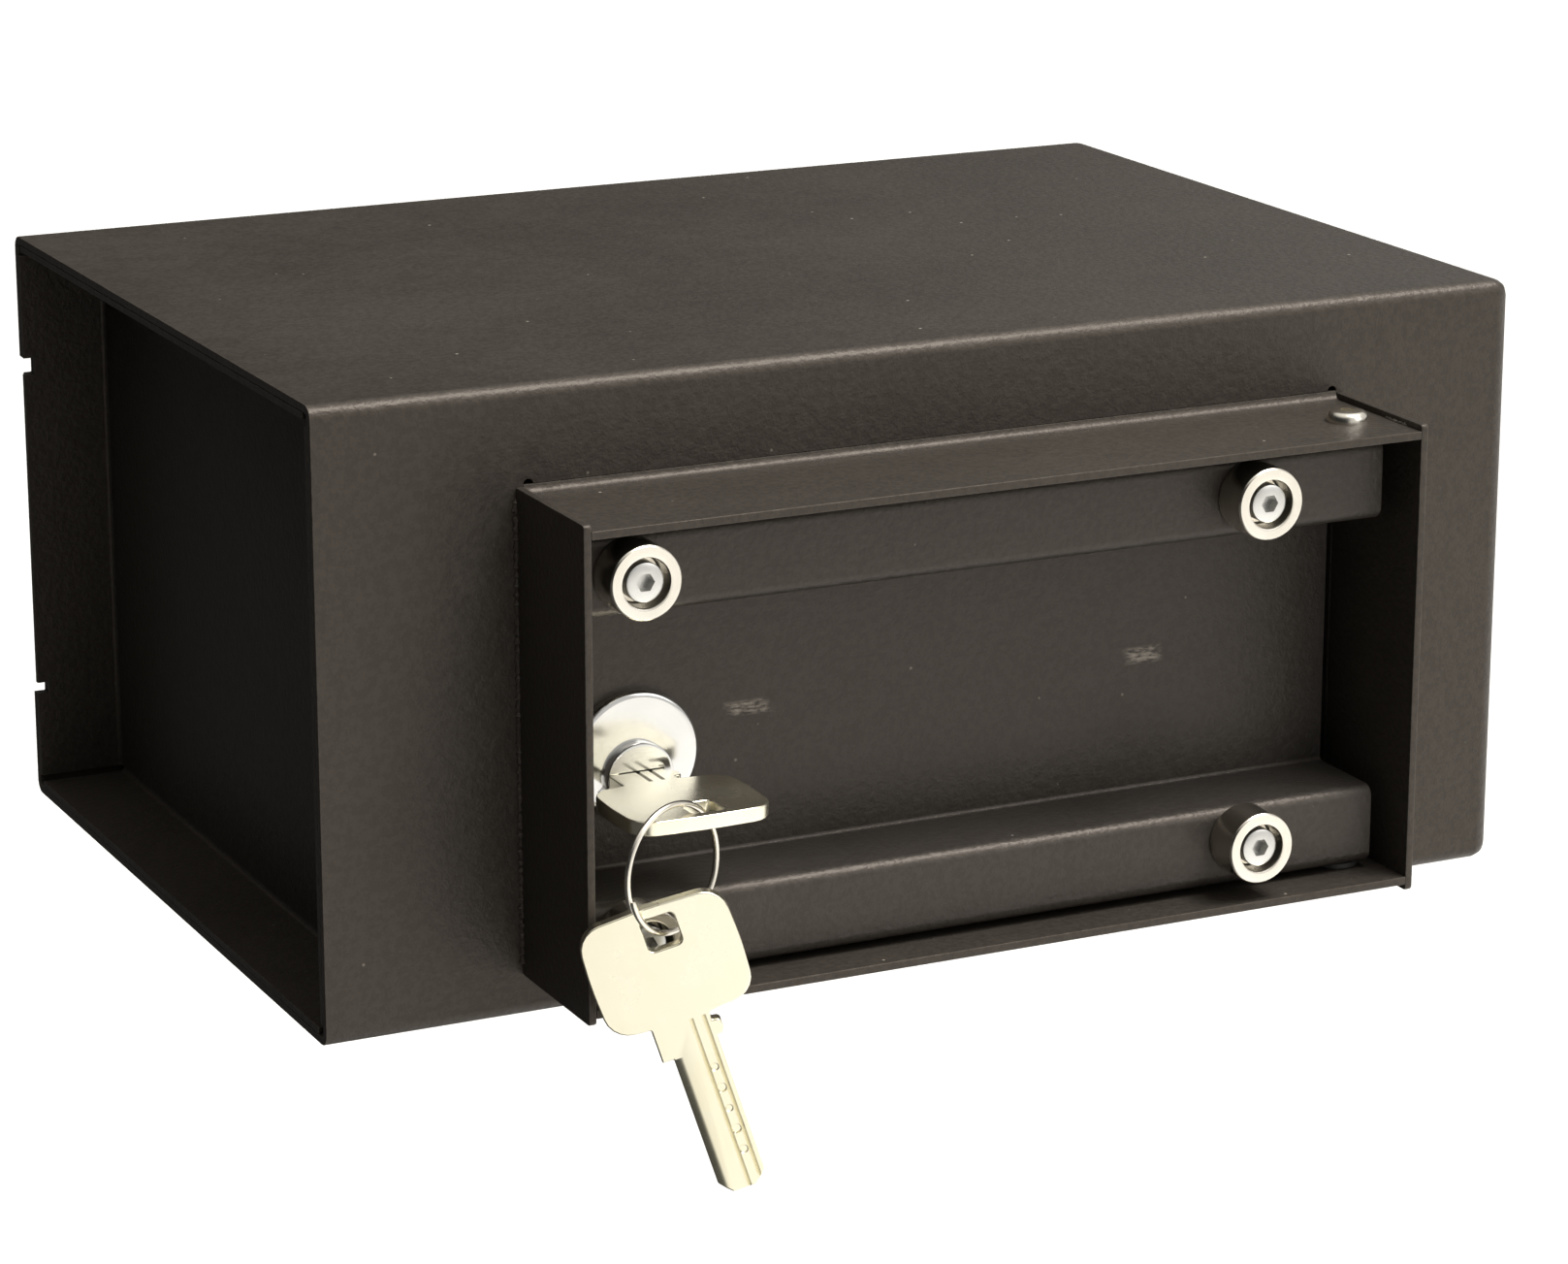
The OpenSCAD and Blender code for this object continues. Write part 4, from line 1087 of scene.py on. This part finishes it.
def make_ring():
    """A wire ring whose two ends lie side by side."""
    joint = next(j for j in frame["joints"] if j["name"] == "ring_swing")
    along = -Vector(joint["axis"]).normalized()
    normal = along.cross(Vector((0, 0, 1))).normalized()
    middle = (RING_LO + RING_HI) / 2
    radius = (RING_HI.z - RING_LO.z) / 2 - WIRE
    bm = bmesh.new()
    path, radii = [], []
    for i in range(RING_STEPS + 1):
        t = i / RING_STEPS
        a = RING_START + RING_TURNS * t
        aside = RING_ASIDE * ((1 - 2 * t) if abs(1 - 2 * t) > RING_NIP else RING_NIP * (1 - 2 * t))
        on_circle = along * math.cos(a) + Vector((0, 0, 1)) * math.sin(a)
        path.append(middle + radius * on_circle + normal * aside)
        radii.append(WIRE * (0.7 if i in (0, RING_STEPS) else 1.0))
    add_tube(bm, path, radii, 14)
    finish_piece(as_object("ring_wire", bm), "ring", NICKEL, ["key_ring"], rims=0)


# ---- inner pieces ----

def rim_rounded_copy(node, name, body, material, rims):
    """A CAD solid's own shape with its sharp rims rounded, as a piece that stands for it."""
    bm = bmesh.new()
    bm.from_mesh(frame["nodes"][node].data)
    bmesh.ops.remove_doubles(bm, verts=bm.verts, dist=0.001 * MM)
    bmesh.ops.dissolve_limit(bm, angle_limit=math.radians(1), verts=bm.verts, edges=bm.edges)
    piece = as_object(name, bm)
    return finish_piece(piece, body, material, [node], rims=rims, rim_angle=40)


def make_springs():
    """Small coil springs over the driver pins, with closer coils at both ends and in the middle."""
    low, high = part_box("driver_springs")
    outside, wire = (high.x - low.x) / 2, SPRING_WIRE
    radius = outside - wire
    count = round((high.y - low.y - 2 * outside) / DIMPLE_PITCH) + 1
    bm = bmesh.new()
    for spring in range(count):
        y = low.y + outside + spring * DIMPLE_PITCH
        path = []
        for i in range(SPRING_TURNS * SPRING_STEPS + 1):
            a, t = TAU * i / SPRING_STEPS, i / (SPRING_TURNS * SPRING_STEPS)
            eased = t - SPRING_CROWD * math.sin(2 * TAU * t)
            path.append(Vector((LOCK_X + radius * math.cos(a), y + radius * math.sin(a),
                                low.z + wire + (high.z - low.z - 2 * wire) * eased)))
        add_tube(bm, path, [wire] * len(path), 8)
    finish_piece(as_object("coil_springs", bm), "door", ZINC, ["driver_springs"], rims=0)


def finish_node(name, material):
    node = frame["nodes"][name]
    node.data.materials.clear()
    node.data.materials.append(material)


def make_inner_pieces():
    rim_rounded_copy("lock_catch", "catch_bracket", "box", ZINC, 0.25 * MM)
    rim_rounded_copy("door_stops", "stop_strips", "box", BOX_COAT, 0.25 * MM)
    rim_rounded_copy("cam", "cam_plate", "plug", ZINC, 0.3 * MM)
    rim_rounded_copy("cam_washer", "cam_ring", "plug", ZINC, 0.12 * MM)
    rim_rounded_copy("cam_screw", "cam_fixing", "plug", ZINC, 0.2 * MM)
    make_springs()
    for name, material in (("pivot_washers", NYLON), ("chamber_cover", BRASS),
                           ("driver_pins", BRASS), ("plug_pins", BRASS)):
        finish_node(name, material)


# ---- room, light and camera ----

def make_camera():
    camera = bpy.data.objects.new("camera", bpy.data.cameras.new("camera"))
    bpy.context.scene.collection.objects.link(camera)
    camera.data.sensor_width = 36
    camera.data.lens = LENS
    camera.location = CAMERA_PLACE
    camera.rotation_euler = (math.pi / 2 - CAMERA_PITCH, 0, -CAMERA_YAW)
    bpy.context.scene.camera = camera


def soft_light(name, place, aim, size, power, tint=(1, 1, 1)):
    lamp = bpy.data.lights.new(name, "AREA")
    lamp.shape = "RECTANGLE"
    lamp.size, lamp.size_y = size
    lamp.energy = power
    lamp.color = tint
    obj = bpy.data.objects.new(name, lamp)
    bpy.context.scene.collection.objects.link(obj)
    obj.location = place
    obj.rotation_euler = (Vector(aim) - Vector(place)).to_track_quat("-Z", "Y").to_euler()


def lit_side(tree, way):
    """Grows from the dark left and back of the studio to its lit front and right."""
    dot = add(tree, "ShaderNodeVectorMath", {0: way, 1: (1.0, -0.5, 0.0)}, operation="DOT_PRODUCT")
    return dot.outputs["Value"]


def make_room():
    bm = bmesh.new()
    level = CAD_BOX[0][2] - FLOOR_DROP
    corners = oblong(-FLOOR_REACH, FLOOR_REACH, -FLOOR_REACH, FLOOR_REACH)
    bm.faces.new([bm.verts.new((x, y, level)) for x, y in corners])
    floor = as_object("floor", bm)
    material, tree, shader, place = new_material("pale_floor")
    pale = mix_colour(tree, noise(tree, place, 3.0, 2.0), (0.86, 0.86, 0.855, 1), (0.88, 0.88, 0.875, 1))
    bounce = mix_colour(tree, ramp(tree, lit_side(tree, place), -0.1, 0.3),
                        DARK_SIDE, (0.92, 0.915, 0.9, 1))
    seen = add(tree, "ShaderNodeLightPath").outputs["Is Camera Ray"]
    tone = mix_colour(tree, seen, bounce, pale)
    tree.links.new(tone, shader.inputs["Base Color"])
    shader.inputs["Roughness"].default_value = 0.9
    floor.data.materials.append(material)

    world = bpy.data.worlds.new("studio")
    world.use_nodes = True
    bpy.context.scene.world = world
    tree = world.node_tree
    back = tree.nodes["Background"]
    way = add(tree, "ShaderNodeTexCoord").outputs["Generated"]
    front = mix_colour(tree, ramp(tree, lit_side(tree, way), -0.1, 0.4),
                       DARK_SIDE, (0.9, 0.88, 0.85, 1))
    up = add(tree, "ShaderNodeSeparateXYZ", {0: way}).outputs[2]
    overhead = ramp(tree, up, 0.5, 0.95)
    studio = mix_colour(tree, overhead, front, (1.3, 1.26, 1.2, 1))
    seen = add(tree, "ShaderNodeLightPath").outputs["Is Camera Ray"]
    tree.links.new(mix_colour(tree, seen, studio, (1.32, 1.32, 1.31, 1)), back.inputs["Color"])
    back.inputs["Strength"].default_value = WORLD_STRENGTH

    sun = bpy.data.lights.new("overhead", "SUN")
    sun.energy = SUN_STRENGTH
    sun.color = (1.0, 0.985, 0.96)
    sun.angle = SUN_SPREAD
    lamp = bpy.data.objects.new("overhead", sun)
    bpy.context.scene.collection.objects.link(lamp)
    lamp.rotation_euler = Vector(SUN_WAY).to_track_quat("-Z", "Y").to_euler()
    soft_light("front_right", (0.9, -1.3, 0.7), (0, -0.1, 0), (0.9, 0.9), 4, (1.0, 0.985, 0.96))
    soft_light("over_front", (0.63, -0.5, 1.3), (0, -0.1, 0), (0.35, 0.35), 13, (1.0, 0.97, 0.93))
    bpy.context.scene.view_settings.view_transform = "Standard"


make_camera()
make_housing()
make_flanges()
make_collar_sides()
make_welds()
make_end_pan()
make_door()
make_posts()
make_nuts()
make_pivot_screws()
make_lock()
make_plug()
make_keys()
make_ring()
make_inner_pieces()
make_room()
